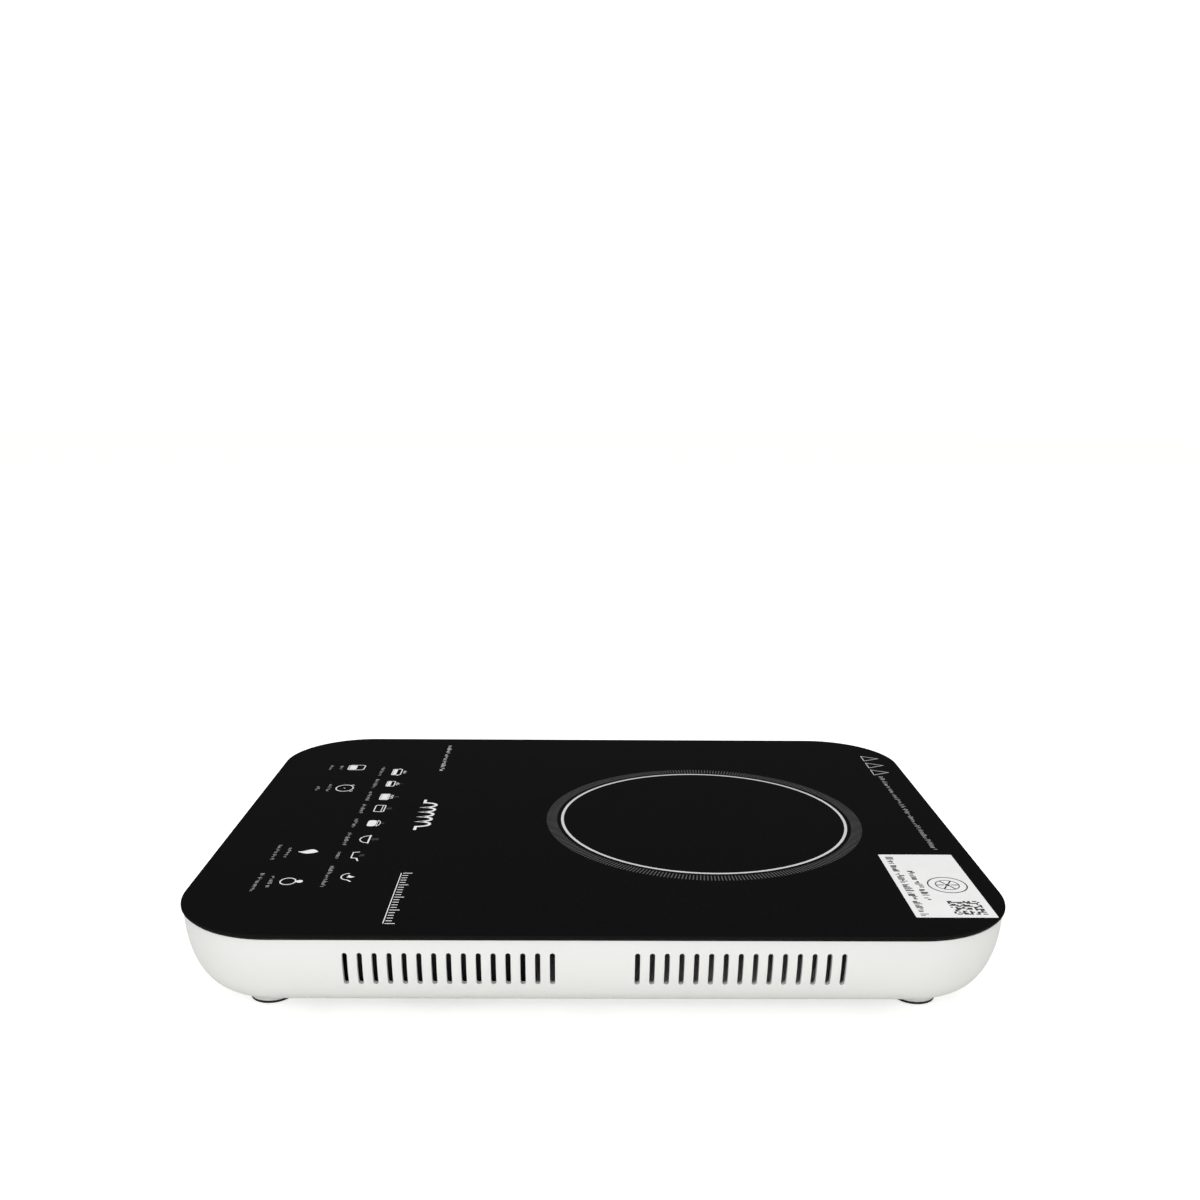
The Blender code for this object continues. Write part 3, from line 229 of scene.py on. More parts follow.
def make_world():
    """White behind the object, soft white light on it, and a dim sky for its gloss to mirror."""
    world = bpy.data.worlds.new("studio")
    bpy.context.scene.world = world
    world.use_nodes = True
    world.node_tree.nodes.clear()
    node = Nodes(world.node_tree).node
    rays = node("ShaderNodeLightPath").outputs
    split = node("ShaderNodeSeparateXYZ", {0: node("ShaderNodeTexCoord").outputs["Generated"]})
    sky = node("ShaderNodeValToRGB", {"Fac": split.outputs["Z"]})
    stops = sky.color_ramp.elements
    stops[0].position, stops[0].color = 0.0, (0.85, 0.85, 0.83, 1)
    stops[1].position, stops[1].color = 0.06, (DIM_SKY, DIM_SKY, 0.022, 1)
    for position, level in ((0.44, DIM_SKY), (0.78, 0.20), (1.0, 0.36)):
        stops.new(position).color = (level, level, level, 1)
    mirrored = node("ShaderNodeBackground", {"Color": sky.outputs["Color"]}).outputs[0]
    soft = node("ShaderNodeBackground", {"Color": (1, 1, 0.99, 1), "Strength": 0.50}).outputs[0]
    white = node("ShaderNodeBackground", {"Color": (1, 1, 1, 1), "Strength": 1.1}).outputs[0]
    lit = node("ShaderNodeMixShader", {0: rays["Is Glossy Ray"], 1: soft, 2: mirrored}).outputs[0]
    seen = node("ShaderNodeMixShader", {0: rays["Is Camera Ray"], 1: lit, 2: white}).outputs[0]
    node("ShaderNodeOutputWorld", {"Surface": seen})


def make_floor():
    bm = bmesh.new()
    bmesh.ops.create_circle(bm, cap_ends=True, segments=96, radius=6)
    mesh = bpy.data.meshes.new("floor")
    bm.to_mesh(mesh)
    bm.free()
    floor = loose(mesh)
    paper = {"Base_Color": (0.85, 0.845, 0.825, 1), "Emission_Color": (1, 1, 1, 1)}
    look = Look("floor_paper", 1, Specular_IOR_Level=0, **paper)
    seen = look.node("ShaderNodeLightPath").outputs["Is Camera Ray"]
    look.link(look.maths("MULTIPLY", seen, FLOOR_LIFT), look.shader["Emission Strength"])
    mesh.materials.append(look.material)


def make_studio():
    bpy.context.scene.view_settings.view_transform = "Standard"
    make_camera()
    make_world()
    make_floor()
    area_light("key", (1.15, -0.12, 0.55), (0, 0, 0.02), (0.8, 0.6), 4.6)
    area_light("overhead", (0.1, 0.1, 1.6), (0, 0, 0), (1.6, 1.6), 11.0)


# Materials


class Look(Nodes):
    """One procedural material: a Principled shader and the nodes that vary it."""

    def __init__(self, name, roughness, metallic=0.0, **plain):
        self.material = bpy.data.materials.new(name)
        self.material.use_nodes = True
        super().__init__(self.material.node_tree)
        self.shader = self.tree.nodes["Principled BSDF"].inputs
        for socket, value in {"Roughness": roughness, "Metallic": metallic, **plain}.items():
            self.shader[socket.replace("_", " ")].default_value = value
        self.where = self.node("ShaderNodeTexCoord").outputs["Object"]

    def stretched(self, scale, turn=(0, 0, 0)):
        values = {"Vector": self.where, "Scale": scale, "Rotation": turn}
        return self.node("ShaderNodeMapping", values).outputs[0]

    def noise(self, size, detail=3.0, vector=None):
        """Noise with features about as large as size, in metres."""
        values = {"Vector": vector or self.where, "Scale": 1 / size, "Detail": detail}
        return self.node("ShaderNodeTexNoise", values).outputs["Fac"]

    def cells(self, size):
        values = {"Vector": self.where, "Scale": 1 / size}
        return self.node("ShaderNodeTexVoronoi", values).outputs[0]

    def bands(self, pitch, direction="X", vector=None, distortion=0.0):
        """Even bands, one in each pitch along an axis, in metres."""
        scale = 2 * math.pi / (20 * pitch)
        values = {"Vector": vector or self.where, "Scale": scale, "Distortion": distortion}
        return self.node("ShaderNodeTexWave", values, bands_direction=direction).outputs["Fac"]

    def ramp(self, value, low, high, start=0.3, end=0.7):
        """A colour between two, as value goes from start to end."""
        made = self.node("ShaderNodeValToRGB", {"Fac": value})
        first, last = made.color_ramp.elements
        first.position, first.color = start, (*low, 1)
        last.position, last.color = end, (*high, 1)
        return made.outputs["Color"]

    def span(self, value, low, high, start=0.3, end=0.7):
        """A number from low to high, as value goes from start to end."""
        values = {"Value": value, "From Min": start, "From Max": end, "To Min": low, "To Max": high}
        return self.node("ShaderNodeMapRange", values).outputs["Result"]

    def maths(self, operation, first, second):
        return self.node("ShaderNodeMath", {0: first, 1: second}, operation=operation).outputs[0]

    def blend(self, amount, first, second):
        """A mix of two colours, each given as a tuple or as a node's output."""
        first, second = ((*end, 1) if isinstance(end, tuple) else end for end in (first, second))
        return self.node("ShaderNodeMix", {0: amount, 6: first, 7: second}, data_type="RGBA").outputs[2]

    def painted(self, colour, roughness, relief=None, depth=0.0, strength=1.0):
        """The material with these nodes on its shader, and with relief as deep as depth, in metres."""
        self.link(colour, self.shader["Base Color"])
        self.link(roughness, self.shader["Roughness"])
        if relief:
            values = {"Height": relief, "Distance": depth, "Strength": strength}
            self.link(self.node("ShaderNodeBump", values).outputs["Normal"], self.shader["Normal"])
        return self.material


def shade(colour, factor):
    return tuple(min(1.0, channel * factor) for channel in colour)


def mottled(
    name, colour, roughness, metallic=0.0, patch=0.012, vary=0.12, grain=0.0003, depth=0.00001, **plain
):
    """Plastic, rubber, ceramic or plated metal: a soft drift of tone over a fine grain."""
    look = Look(name, roughness, metallic, **plain)
    drift = look.noise(patch)
    tone = look.ramp(drift, shade(colour, 1 - vary), shade(colour, 1 + vary))
    fine = look.noise(grain, 2.0)
    both = look.maths("ADD", drift, fine)
    return look.painted(tone, look.span(both, roughness * 0.85, roughness * 1.15, 0.7, 1.3), fine, depth)


def glass_look():
    """Black glass with faint smudges."""
    look = Look("black_glass", 0.07, IOR=1.52)
    smudge = look.noise(0.05, 4.0, look.stretched((1.0, 0.6, 1.0)))
    tone = look.ramp(look.noise(0.0016, 2.0), (0.0035, 0.0035, 0.0037), (0.0050, 0.0050, 0.0052))
    return look.painted(tone, look.span(smudge, 0.045, 0.085, 0.35, 0.75))


def glass_edge_look():
    """The glass plate's ground edge, which mirrors almost nothing."""
    look = Look("glass_edge", 0.5, Specular_IOR_Level=0.08)
    grind = look.noise(0.0004, 2.0)
    tone = look.ramp(grind, (0.0040, 0.0040, 0.0042), (0.0075, 0.0075, 0.0078))
    return look.painted(tone, look.span(grind, 0.45, 0.6), grind, 0.00001)


def housing_look():
    """Satin white plastic with a fine moulded grain."""
    look = Look("white_plastic", 0.42, IOR=1.47)
    drift = look.noise(0.07, 2.0)
    fine = look.noise(0.00045, 2.0)
    tone = look.ramp(drift, (0.870, 0.872, 0.861), (0.893, 0.895, 0.886))
    both = look.maths("ADD", drift, fine)
    return look.painted(tone, look.span(both, 0.38, 0.47, 0.7, 1.3), fine, 0.000006, 0.6)


def steel_look():
    """Zinc plating: a faint bluish drift and fine turning marks."""
    look = Look("zinc_steel", 0.32, 1.0)
    tone = look.ramp(look.noise(0.002), (0.54, 0.56, 0.59), (0.70, 0.70, 0.66))
    marks = look.noise(0.0004, 2.0, look.stretched((0.2, 0.2, 6.0)))
    return look.painted(tone, look.span(marks, 0.24, 0.42), marks, 0.000004)


def aluminium_look():
    """Extruded fins with fine lines along X."""
    look = Look("aluminium", 0.38, 1.0)
    lines = look.noise(0.0006, 3.0, look.stretched((0.03, 1.0, 1.0)))
    tone = look.ramp(lines, (0.68, 0.69, 0.70), (0.80, 0.81, 0.82))
    return look.painted(tone, look.span(lines, 0.30, 0.48), lines, 0.000008)


def board_look():
    """Green solder resist over paler copper traces, with tinned dots."""
    look = Look("board_green", 0.35)
    values = {"Vector": look.where, "Scale": 1.0, "Brick Width": 0.0115, "Row Height": 0.0042}
    values.update({"Mortar Size": 0.0005, "Mortar Smooth": 0.1})
    traces = look.node("ShaderNodeTexBrick", values).outputs["Fac"]
    resist = look.ramp(look.noise(0.02), (0.020, 0.150, 0.062), (0.034, 0.205, 0.088))
    traced = look.blend(traces, resist, (0.075, 0.30, 0.13))
    dots = look.cells(0.0062)
    tone = look.blend(look.maths("LESS_THAN", dots, 0.13), traced, (0.60, 0.60, 0.56))
    return look.painted(tone, look.span(dots, 0.28, 0.45, 0.0, 0.6), traces, 0.00003)


def strand_look(name, dark, light, metallic, roughness, strand, depth):
    """Enamelled strands twisted together, which show as slanting ridges; the grooves between them are
    painted darker, as shade, over a random drift of tone.
    """
    look = Look(name, roughness, metallic)
    slant = look.stretched((1.0, 1.0, 1.0), (0.5, 0.35, 0.6))
    ridges = look.bands(strand, vector=slant, distortion=0.6)
    drift = look.noise(0.004, 2.0)
    # painted shade: the colour follows the ridges, dark in the grooves between strands and light on their
    # crests; the drift adds random tone
    tone = look.ramp(look.maths("MULTIPLY", ridges, drift), dark, light, 0.05, 0.45)
    return look.painted(tone, look.span(drift, roughness * 0.8, roughness * 1.3), ridges, depth)


def sleeve_look():
    """A pale braided sleeve: two sets of slanting threads over each other, with painted shade in the gaps
    between the threads.
    """
    look = Look("lead_sleeve", 0.75)
    pitch = 0.0006
    first = look.bands(pitch, "DIAGONAL")
    second = look.bands(pitch, "DIAGONAL", look.stretched((-1.0, 1.0, 1.0)))
    weave = look.maths("MAXIMUM", first, second)
    # painted shade: the colour follows the weave, darker in the gaps between threads, and the noise varies
    # it at random
    gap_shade_and_tone = look.maths("MULTIPLY", weave, look.noise(0.003))
    tone = look.ramp(gap_shade_and_tone, (0.58, 0.56, 0.50), (0.84, 0.83, 0.78), 0.1, 0.6)
    return look.painted(tone, look.span(weave, 0.85, 0.6, 0.0, 1.0), weave, 0.00006)


def ribbon_look():
    """A flat cable: grey insulation over parallel wires, with painted shade in the grooves between the
    wires.
    """
    look = Look("ribbon_grey", 0.48)
    wires = look.bands(0.00127)
    # painted shade: the grey is darker in the grooves between the wires, the low parts of the same bands
    # that make the bump; the noise varies it at random
    gap_shade_and_tone = look.maths("MULTIPLY", wires, look.noise(0.01))
    tone = look.ramp(gap_shade_and_tone, (0.30, 0.30, 0.31), (0.50, 0.50, 0.51), 0.0, 0.6)
    return look.painted(tone, look.span(wires, 0.55, 0.42, 0.0, 1.0), wires, 0.00012)


def mica_look():
    """Pressed flakes, each with its own tone and sheen."""
    look = Look("mica", 0.45)
    flakes = look.maths("MULTIPLY", look.cells(0.0035), 0.6)
    both = look.maths("ADD", flakes, look.maths("MULTIPLY", look.cells(0.0012), 0.4))
    tone = look.ramp(both, (0.70, 0.65, 0.52), (0.44, 0.40, 0.31), 0.1, 0.7)
    return look.painted(tone, look.span(both, 0.30, 0.62, 0.1, 0.7), both, 0.00004)


def make_looks():
    """A material for each of the record's slots, by the slot's name."""
    made = [
        glass_look(),
        housing_look(),
        mica_look(),
        steel_look(),
        aluminium_look(),
        board_look(),
        sleeve_look(),
        ribbon_look(),
        strand_look("copper", (0.30, 0.10, 0.035), (0.86, 0.42, 0.20), 0.9, 0.34, 0.0007, 0.00012),
        strand_look("winding_enamel", (0.14, 0.035, 0.012), (0.62, 0.24, 0.09), 0.8, 0.3, 0.0006, 0.0001),
        mottled("dark_rubber", (0.018,) * 3, 0.78, patch=0.004, vary=0.3, grain=0.0004, depth=0.00002),
        mottled("silicone", (0.50, 0.50, 0.48), 0.6, patch=0.006, vary=0.08, Subsurface_Weight=0.1),
        mottled("dark_plastic", (0.028, 0.028, 0.030), 0.48, vary=0.2, depth=0.00002),
        mottled("carrier_plastic", (0.085, 0.085, 0.092), 0.55, vary=0.18, depth=0.00003),
        mottled("ferrite", (0.062, 0.062, 0.066), 0.62, patch=0.003, vary=0.25, depth=0.00004),
        mottled("film_capacitor", (0.58, 0.45, 0.08), 0.36, vary=0.1, Coat_Weight=0.2),
        mottled("component_black", (0.020, 0.020, 0.022), 0.42, patch=0.005, vary=0.25),
        mottled("lead_red", (0.50, 0.032, 0.024), 0.42, patch=0.004, vary=0.15),
        mottled("sintered_bronze", (0.50, 0.33, 0.17), 0.5, 0.9, patch=0.0008, vary=0.3, grain=0.0002),
        mottled("magnet", (0.085, 0.078, 0.078), 0.6, patch=0.002, vary=0.25),
    ]
    return {look.name.split(".")[0]: look for look in made}


def ink_look(name, colour, roughness=0.5, vary=0.03):
    """Screen-printed enamel or paper, slightly uneven in density."""
    return mottled(name, colour, roughness, patch=0.006, vary=vary, grain=0.0002, depth=0.000003)


LOOKS = make_looks()
GLASS_EDGE = glass_edge_look()
INK_WHITE = ink_look("ink_white", (0.95,) * 3)
INK_PALE = ink_look("ink_pale", (0.55,) * 3)
INK_GREY = ink_look("ink_grey", (0.11,) * 3)
INK_RING = ink_look("ink_ring", (0.72,) * 3)
STICKER_PAPER = ink_look("sticker_paper", (0.97,) * 3, 0.42, 0.008)
STICKER_INK = ink_look("sticker_ink", (0.035, 0.035, 0.038))
PLATE_FILM = mottled("rating_plate_film", (0.60, 0.61, 0.62), 0.34, 0.7, patch=0.05, vary=0.02)


# Meshes


def mesh_from(bm, sharp=SHARP):
    bmesh.ops.recalc_face_normals(bm, faces=bm.faces)
    mesh = bpy.data.meshes.new("piece")
    bm.to_mesh(mesh)
    bm.free()
    return sharpened(mesh, sharp)


def sharpened(mesh, sharp=SHARP):
    mesh.shade_smooth()
    mesh.set_sharp_from_angle(angle=math.radians(sharp))
    return mesh


def loose(mesh):
    obj = bpy.data.objects.new(mesh.name, mesh)
    bpy.context.scene.collection.objects.link(obj)
    return obj


def piece(name, mesh, look, body=BODY, replaced=None):
    """A finished piece that rides on a body, and may stand for a CAD node."""
    mesh.name = name
    mesh.materials.clear()
    mesh.materials.append(look)
    obj = bpy.data.objects.new(name, mesh)
    bpy.context.scene.collection.objects.link(obj)
    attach(obj, body)
    if replaced:
        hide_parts(replaced)
    return obj


def slot_of(node):
    """The record's material slot that the CAD node was packed with."""
    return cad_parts[node].data.materials[0].name.split(".")[0]


def stand_in(node, mesh, body=BODY):
    """A detailed piece in place of a CAD node, in the finish of that node's slot."""
    slot = slot_of(node)
    return piece(node + "_detail", mesh, LOOKS[slot], body, node)


def applied(obj):
    """The object's mesh with its modifiers applied. The object itself is removed."""
    graph = bpy.context.evaluated_depsgraph_get()
    mesh = bpy.data.meshes.new_from_object(obj.evaluated_get(graph))
    bpy.data.objects.remove(obj, do_unlink=True)
    return mesh


def combined(mesh, helper, operation, crossed=False):
    """One mesh joined to or cut by another; crossed is for a helper whose shapes overlap."""
    target, other = loose(mesh), loose(helper)
    boolean = target.modifiers.new("boolean", "BOOLEAN")
    boolean.operation = operation
    boolean.solver = "EXACT"
    boolean.use_self = crossed
    boolean.object = other
    made = applied(target)
    bpy.data.objects.remove(other, do_unlink=True)
    return made


def add_cylinder(bm, x, y, low, high, radius, top_radius=None, sides=32, turn=Matrix()):
    bmesh.ops.create_cone(
        bm,
        cap_ends=True,
        segments=sides,
        radius1=radius,
        radius2=radius if top_radius is None else top_radius,
        depth=high - low,
        matrix=turn @ Matrix.Translation((x, y, (low + high) / 2)),
    )


def skin(bm, rows, ends=False, closed=False):
    """Faces between rows of vertices; ends caps the first and last, closed joins them."""
    pairs = list(zip(rows, rows[1:]))
    if closed:
        pairs.append((rows[-1], rows[0]))
    for lower, upper in pairs:
        count = max(len(lower), len(upper))
        for i in range(count):
            j = (i + 1) % count
            here, beyond = i % len(lower), j % len(lower)
            corners = [lower[here], lower[beyond], upper[j % len(upper)], upper[i % len(upper)]]
            bm.faces.new(list(dict.fromkeys(corners)))
    if ends:
        bm.faces.new(rows[0][::-1])
        bm.faces.new(rows[-1])


def add_turned(bm, profile, steps=48, turn=Matrix(), closed=False):
    """A turned shape about Z. Its profile holds (radius, height); radius 0 makes a pole."""
    angles = [2 * math.pi * step / steps for step in range(steps)]
    rows = []
    for radius, height in profile:
        if radius == 0:
            points = [Vector((0, 0, height))]
        else:
            points = [Vector((radius * math.cos(a), radius * math.sin(a), height)) for a in angles]
        rows.append([bm.verts.new(turn @ point) for point in points])
    skin(bm, rows, closed=closed)


def turned_mesh(profile, steps, turn, closed=False):
    bm = bmesh.new()
    add_turned(bm, profile, steps, turn, closed)
    return mesh_from(bm)


def above(x, y):
    """A turned shape's place on the plan."""
    return Matrix.Translation((x, y, 0))


def rounded_corner(radius, z, turn_radius, up=True):
    """Profile points around an outer edge, from its flat face to its side."""
    points = []
    for degrees in (0, 22.5, 45, 67.5, 90):
        angle = math.radians(degrees)
        across = radius - turn_radius + turn_radius * math.sin(angle)
        along = turn_radius * (1 - math.cos(angle))
        points.append((across, z - along if up else z + along))
    return points


def rounded_outline(half_x, half_y, corner, steps):
    """Points of a rounded rectangle around the origin, anticlockwise."""
    points = []
    for side_x, side_y, start in ((1, 1, 0), (-1, 1, 90), (-1, -1, 180), (1, -1, 270)):
        centre = (side_x * (half_x - corner), side_y * (half_y - corner))
        points += arc(centre, corner, start, start + 90, steps)
    return points


def arc(centre, radius, start, end, steps=12):
    """Points along an arc; radius may be a pair, for an ellipse."""
    across, along = radius if isinstance(radius, tuple) else (radius, radius)
    points = []
    for step in range(steps + 1):
        angle = math.radians(start + (end - start) * step / steps)
        points.append((centre[0] + across * math.cos(angle), centre[1] + along * math.sin(angle)))
    return points


def plate_ring(bm, inset, z):
    outline = rounded_outline(HALF_X - inset, HALF_Y - inset, PLATE_CORNER - inset, CORNER_STEPS)
    return [bm.verts.new((x, y, z)) for x, y in outline]


def four_corners(centre, reach):
    return [(centre.x + a * reach, centre.y + b * reach) for a in (-1, 1) for b in (-1, 1)]


# Glass


def make_glass():
    """The plate, bevelled far in underneath, with a rounded upper arris and a darker edge."""
    margin = 0.001  # of flat glass beside each bevel, which keeps the shading of the faces flat
    bevel_z = HEIGHT - GLASS_BAND
    levels = [(GLASS_BEVEL_IN + margin, PLATE_LOW.z), (GLASS_BEVEL_IN, PLATE_LOW.z)]
    levels += [(0.00012, bevel_z - 0.00008), (0, bevel_z + 0.0001)]
    levels += arc((GLASS_ARRIS, GLASS_TOP - GLASS_ARRIS), (-GLASS_ARRIS, GLASS_ARRIS), 0, 90, 5)
    levels.append((GLASS_ARRIS + 0.8 * margin, GLASS_TOP))
    bm = bmesh.new()
    skin(bm, [plate_ring(bm, inset, z) for inset, z in levels], ends=True)
    glass = stand_in("glass_plate", mesh_from(bm, 28))
    glass.data.materials.append(GLASS_EDGE)
    for face in glass.data.polygons:
        if face.normal.z < 0.9:
            face.material_index = 1


# Housing


def wall_level(angle, low, high, inset, reach):
    """Inset and height on the quarter ellipse, from the rim (0 degrees) to the floor (90)."""
    turn = math.radians(angle)
    return inset + reach * (1 - math.cos(turn)), high - (high - low) * math.sin(turn)


def housing_levels():
    """The outer skin up to the rim, the rim, then the inner skin down to the floor."""
    levels = []
    for i in range(OUTER_RINGS, 0, -1):
        levels.append(wall_level(90 * i / OUTER_RINGS, BOTTOM_Z, RIM_Z, RIM_INSET, CURVE_IN))
    rim_top, land = RIM_Z - 0.00014, 0.0003
    levels.append((RIM_INSET, RIM_Z - RIM_EDGE))
    levels += [(RIM_INSET + 0.00007, rim_top), (RIM_INSET + land, rim_top)]
    inner_rim, inner_inset = RIM_Z - 0.6 * WALL, RIM_INSET + WALL
    levels.append((inner_inset - land, inner_rim + 0.0001))
    inner_reach = CURVE_IN - 0.0006
    for i in range(INNER_RINGS + 1):
        levels.append(wall_level(90 * i / INNER_RINGS, FLOOR_Z, inner_rim, inner_inset, inner_reach))
    return levels


def boss_profile():
    """A foot's boss: a straight skirt that flares into the flat bottom."""
    chamfer, root, flared = 0.0003, BOTTOM_Z + 0.0009, BOSS_RADIUS + BOSS_FLARE
    flare_z = BOTTOM_Z - BOSS_FLARE + 0.00005
    profile = [(0, BOSS_LOW), (BOSS_RADIUS - chamfer, BOSS_LOW), (BOSS_RADIUS, BOSS_LOW + chamfer)]
    profile += arc((flared, flare_z), (-BOSS_FLARE, BOSS_FLARE), 0, 90, 8)
    return [*profile, (flared, root), (0, root)]


def along_gland():
    """Turns a shape built along +Z to lie along +Y on the gland's axis."""
    turn = Matrix.Rotation(math.radians(-90), 4, "X")
    return Matrix.Translation((GLAND_CENTRE.x, 0, GLAND_CENTRE.z)) @ turn


def housing_bosses():
    """Foot bosses, screw columns, the posts of coil, board and fan, and the gland's collar."""
    bury = BOTTOM_Z + 0.001
    gland_low, gland_high = GLAND_BOSS_Y
    bm = bmesh.new()
    for x, y in places(FEET):
        add_turned(bm, boss_profile(), 64, above(x, y))
    for x, y in places(HOUSING_SCREWS):
        add_cylinder(bm, x, y, FLOOR_Z - 0.0004, COLUMN_TOP, COLUMN_RADIUS)
    for x, y in places(COIL_SCREWS):
        add_cylinder(bm, x, y, bury, CARRIER_LOW - GAP, COIL_POST)
    for x, y in BOARD_PINS:
        add_cylinder(bm, x, y, bury + 0.0003, BOARD_LOW.z - GAP, *BOARD_POST)
    for x, y in four_corners(FAN_CENTRE, FAN_HOLE_REACH):
        add_cylinder(bm, x, y, bury + 0.0002, FAN_LOW.z - GAP, FAN_POST)
    edge = rounded_corner(GLAND_BOSS_RADIUS, gland_high, 0.0008)
    collar = [(0, gland_high), *edge, (GLAND_BOSS_RADIUS, gland_low), (0, gland_low)]
    add_turned(bm, collar, 56, along_gland())
    return mesh_from(bm)


def board_pins():
    bm = bmesh.new()
    for x, y in BOARD_PINS:
        add_cylinder(bm, x, y, BOARD_LOW.z - 0.002, BOARD_HIGH.z + 0.001, *BOARD_PIN, sides=20)
    return mesh_from(bm)


def grille_ring():
    """A low moulded ring around the air intake."""
    inner, outer = GRILLE_RING
    chamfer = 0.0003
    root, shoulder, low = BOTTOM_Z + 0.0008, BOTTOM_Z - chamfer, BOTTOM_Z - 2 * chamfer
    profile = [(inner, root), (inner, shoulder), (inner + chamfer, low)]
    profile += [(outer - chamfer, low), (outer, shoulder), (outer, root)]
    return turned_mesh(profile, 96, above(FAN_CENTRE.x, FAN_CENTRE.y), closed=True)


def add_slot(bm, ends, half, place, span, axis, steps=8):
    """A round-ended slot cutter: ends are its long axis, span its depth along the cut."""
    points = arc((place, ends[1] - half), half, 0, 180, steps)
    points += arc((place, ends[0] + half), half, 180, 360, steps)
    if axis == "X":
        rows = [[bm.verts.new((depth, a, b)) for a, b in points] for depth in span]
    else:
        rows = [[bm.verts.new((b, a, depth)) for a, b in points] for depth in span]
    skin(bm, rows, ends=True)


def housing_openings():
    """Cutters for the vents, the grille, the sockets, the screw wells, the gland and the recess."""
    bm = bmesh.new()
    floor_cut = (BOTTOM_Z - PAST, FLOOR_Z + PAST)
    wall_cut = (0.120, HALF_X + 0.005)
    for side in (-1, 1):
        for group in (-1, 1):
            for i in range(SLOTS_IN_GROUP):
                y = group * (SLOT_FIRST_Y + i * SLOT_PITCH)
                span = sorted(side * x for x in wall_cut)
                add_slot(bm, (SLOT_LOW_Z, SLOT_HIGH_Z), SLOT_WIDTH / 2, y, span, "X")
    for row in range(-6, 7):
        y = row * GRILLE_PITCH
        half = math.sqrt(GRILLE_REACH**2 - y**2)
        for side in (-1, 1):
            ends = sorted((FAN_CENTRE.x + side * GRILLE_HALF_RIB, FAN_CENTRE.x + side * half))
            add_slot(bm, ends, GRILLE_HALF_SLOT, FAN_CENTRE.y + y, floor_cut, "Z", 6)
    for x, y in places(FEET):
        add_cylinder(bm, x, y, 0, BOSS_LOW + SOCKET_DEPTH, PEG_RADIUS + GAP, sides=64)
    for x, y in places(HOUSING_SCREWS):
        add_cylinder(bm, x, y, BOTTOM_Z - 2 * PAST, COLUMN_SHELF, SCREW_HEAD + GAP)
    for x, y in places(COIL_SCREWS):
        bore = SCREW_RADIUS + GAP
        add_cylinder(bm, x, y, COIL_POST_BORE_LOW, CARRIER_LOW + PAST, bore, sides=20)
    seat = GLAND_FLANGE + 2 * GAP
    add_cylinder(bm, 0, 0, GLAND_SEAT_Y, HALF_Y + PAST, seat, sides=48, turn=along_gland())
    add_plate(bm, 0, floor_cut[0], BOTTOM_Z + RECESS_DEPTH)
    return mesh_from(bm)


def add_plate(bm, inset, low, high):
    """The rating plate's rounded rectangle, from one height to another."""
    (x0, x1), (y0, y1) = RECESS
    half_x, half_y = (x1 - x0) / 2 - inset, (y1 - y0) / 2 - inset
    outline = rounded_outline(half_x, half_y, RECESS_CORNER - inset, 6)
    centre_x, centre_y = (x0 + x1) / 2, (y0 + y1) / 2
    rows = [[bm.verts.new((centre_x + x, centre_y + y, z)) for x, y in outline] for z in (low, high)]
    skin(bm, rows, ends=True)


def through_holes():
    """Holes that go on through the floors of the wider ones."""
    bm = bmesh.new()
    low, high = GLAND_BOSS_Y[0] - PAST, GLAND_SEAT_Y + PAST
    add_cylinder(bm, 0, 0, low, high, GLAND_NECK + GAP, sides=48, turn=along_gland())
    for x, y in places(HOUSING_SCREWS):
        add_cylinder(bm, x, y, COLUMN_SHELF - PAST, COLUMN_TOP + PAST, SCREW_RADIUS + GAP, sides=20)
    return mesh_from(bm)


def wall_normal(point):
    """The true normal of the curved outer wall at a point on it, or None off the wall."""
    core_x, core_y = HALF_X - PLATE_CORNER, HALF_Y - PLATE_CORNER
    nearest = Vector((max(-core_x, min(core_x, point.x)), max(-core_y, min(core_y, point.y)), 0))
    out = Vector((point.x, point.y, 0)) - nearest
    inset = PLATE_CORNER - out.length
    across = 1 - (inset - RIM_INSET) / CURVE_IN
    down = (RIM_Z - point.z) / (RIM_Z - BOTTOM_Z)
    on_wall = abs(math.hypot(across, down) - 1) < 0.002
    if not on_wall or across < -0.001 or point.z > RIM_Z - 0.8 * RIM_EDGE:
        return None
    drop = Vector((0, 0, -down / (RIM_Z - BOTTOM_Z)))
    return (out.normalized() * max(across, 0) / CURVE_IN + drop).normalized()


def smooth_wall(mesh):
    """Gives the outer wall its true normals, so that the cuts in it leave no shading marks."""
    normals = [Vector(corner.vector) for corner in mesh.corner_normals]
    for face in mesh.polygons:
        for corner in face.loop_indices:
            true = wall_normal(mesh.vertices[mesh.loops[corner].vertex_index].co)
            if true is not None and true.dot(face.normal) > 0.95:
                normals[corner] = true
    mesh.normals_split_custom_set(normals)


def make_housing():
    bm = bmesh.new()
    skin(bm, [plate_ring(bm, inset, z) for inset, z in housing_levels()], ends=True)
    mesh = mesh_from(bm)
    mesh = combined(mesh, housing_bosses(), "UNION", crossed=True)
    mesh = combined(mesh, grille_ring(), "UNION")
    mesh = combined(mesh, board_pins(), "UNION")
    mesh = combined(mesh, housing_openings(), "DIFFERENCE")
    mesh = combined(mesh, through_holes(), "DIFFERENCE")
    sharpened(mesh)
    smooth_wall(mesh)
    stand_in("base_housing", mesh)
    bm = bmesh.new()
    add_plate(bm, 0.0003, BOTTOM_Z + 0.0001, BOTTOM_Z + RECESS_DEPTH)
    piece("rating_plate", mesh_from(bm), PLATE_FILM)


# Feet, screws and gland


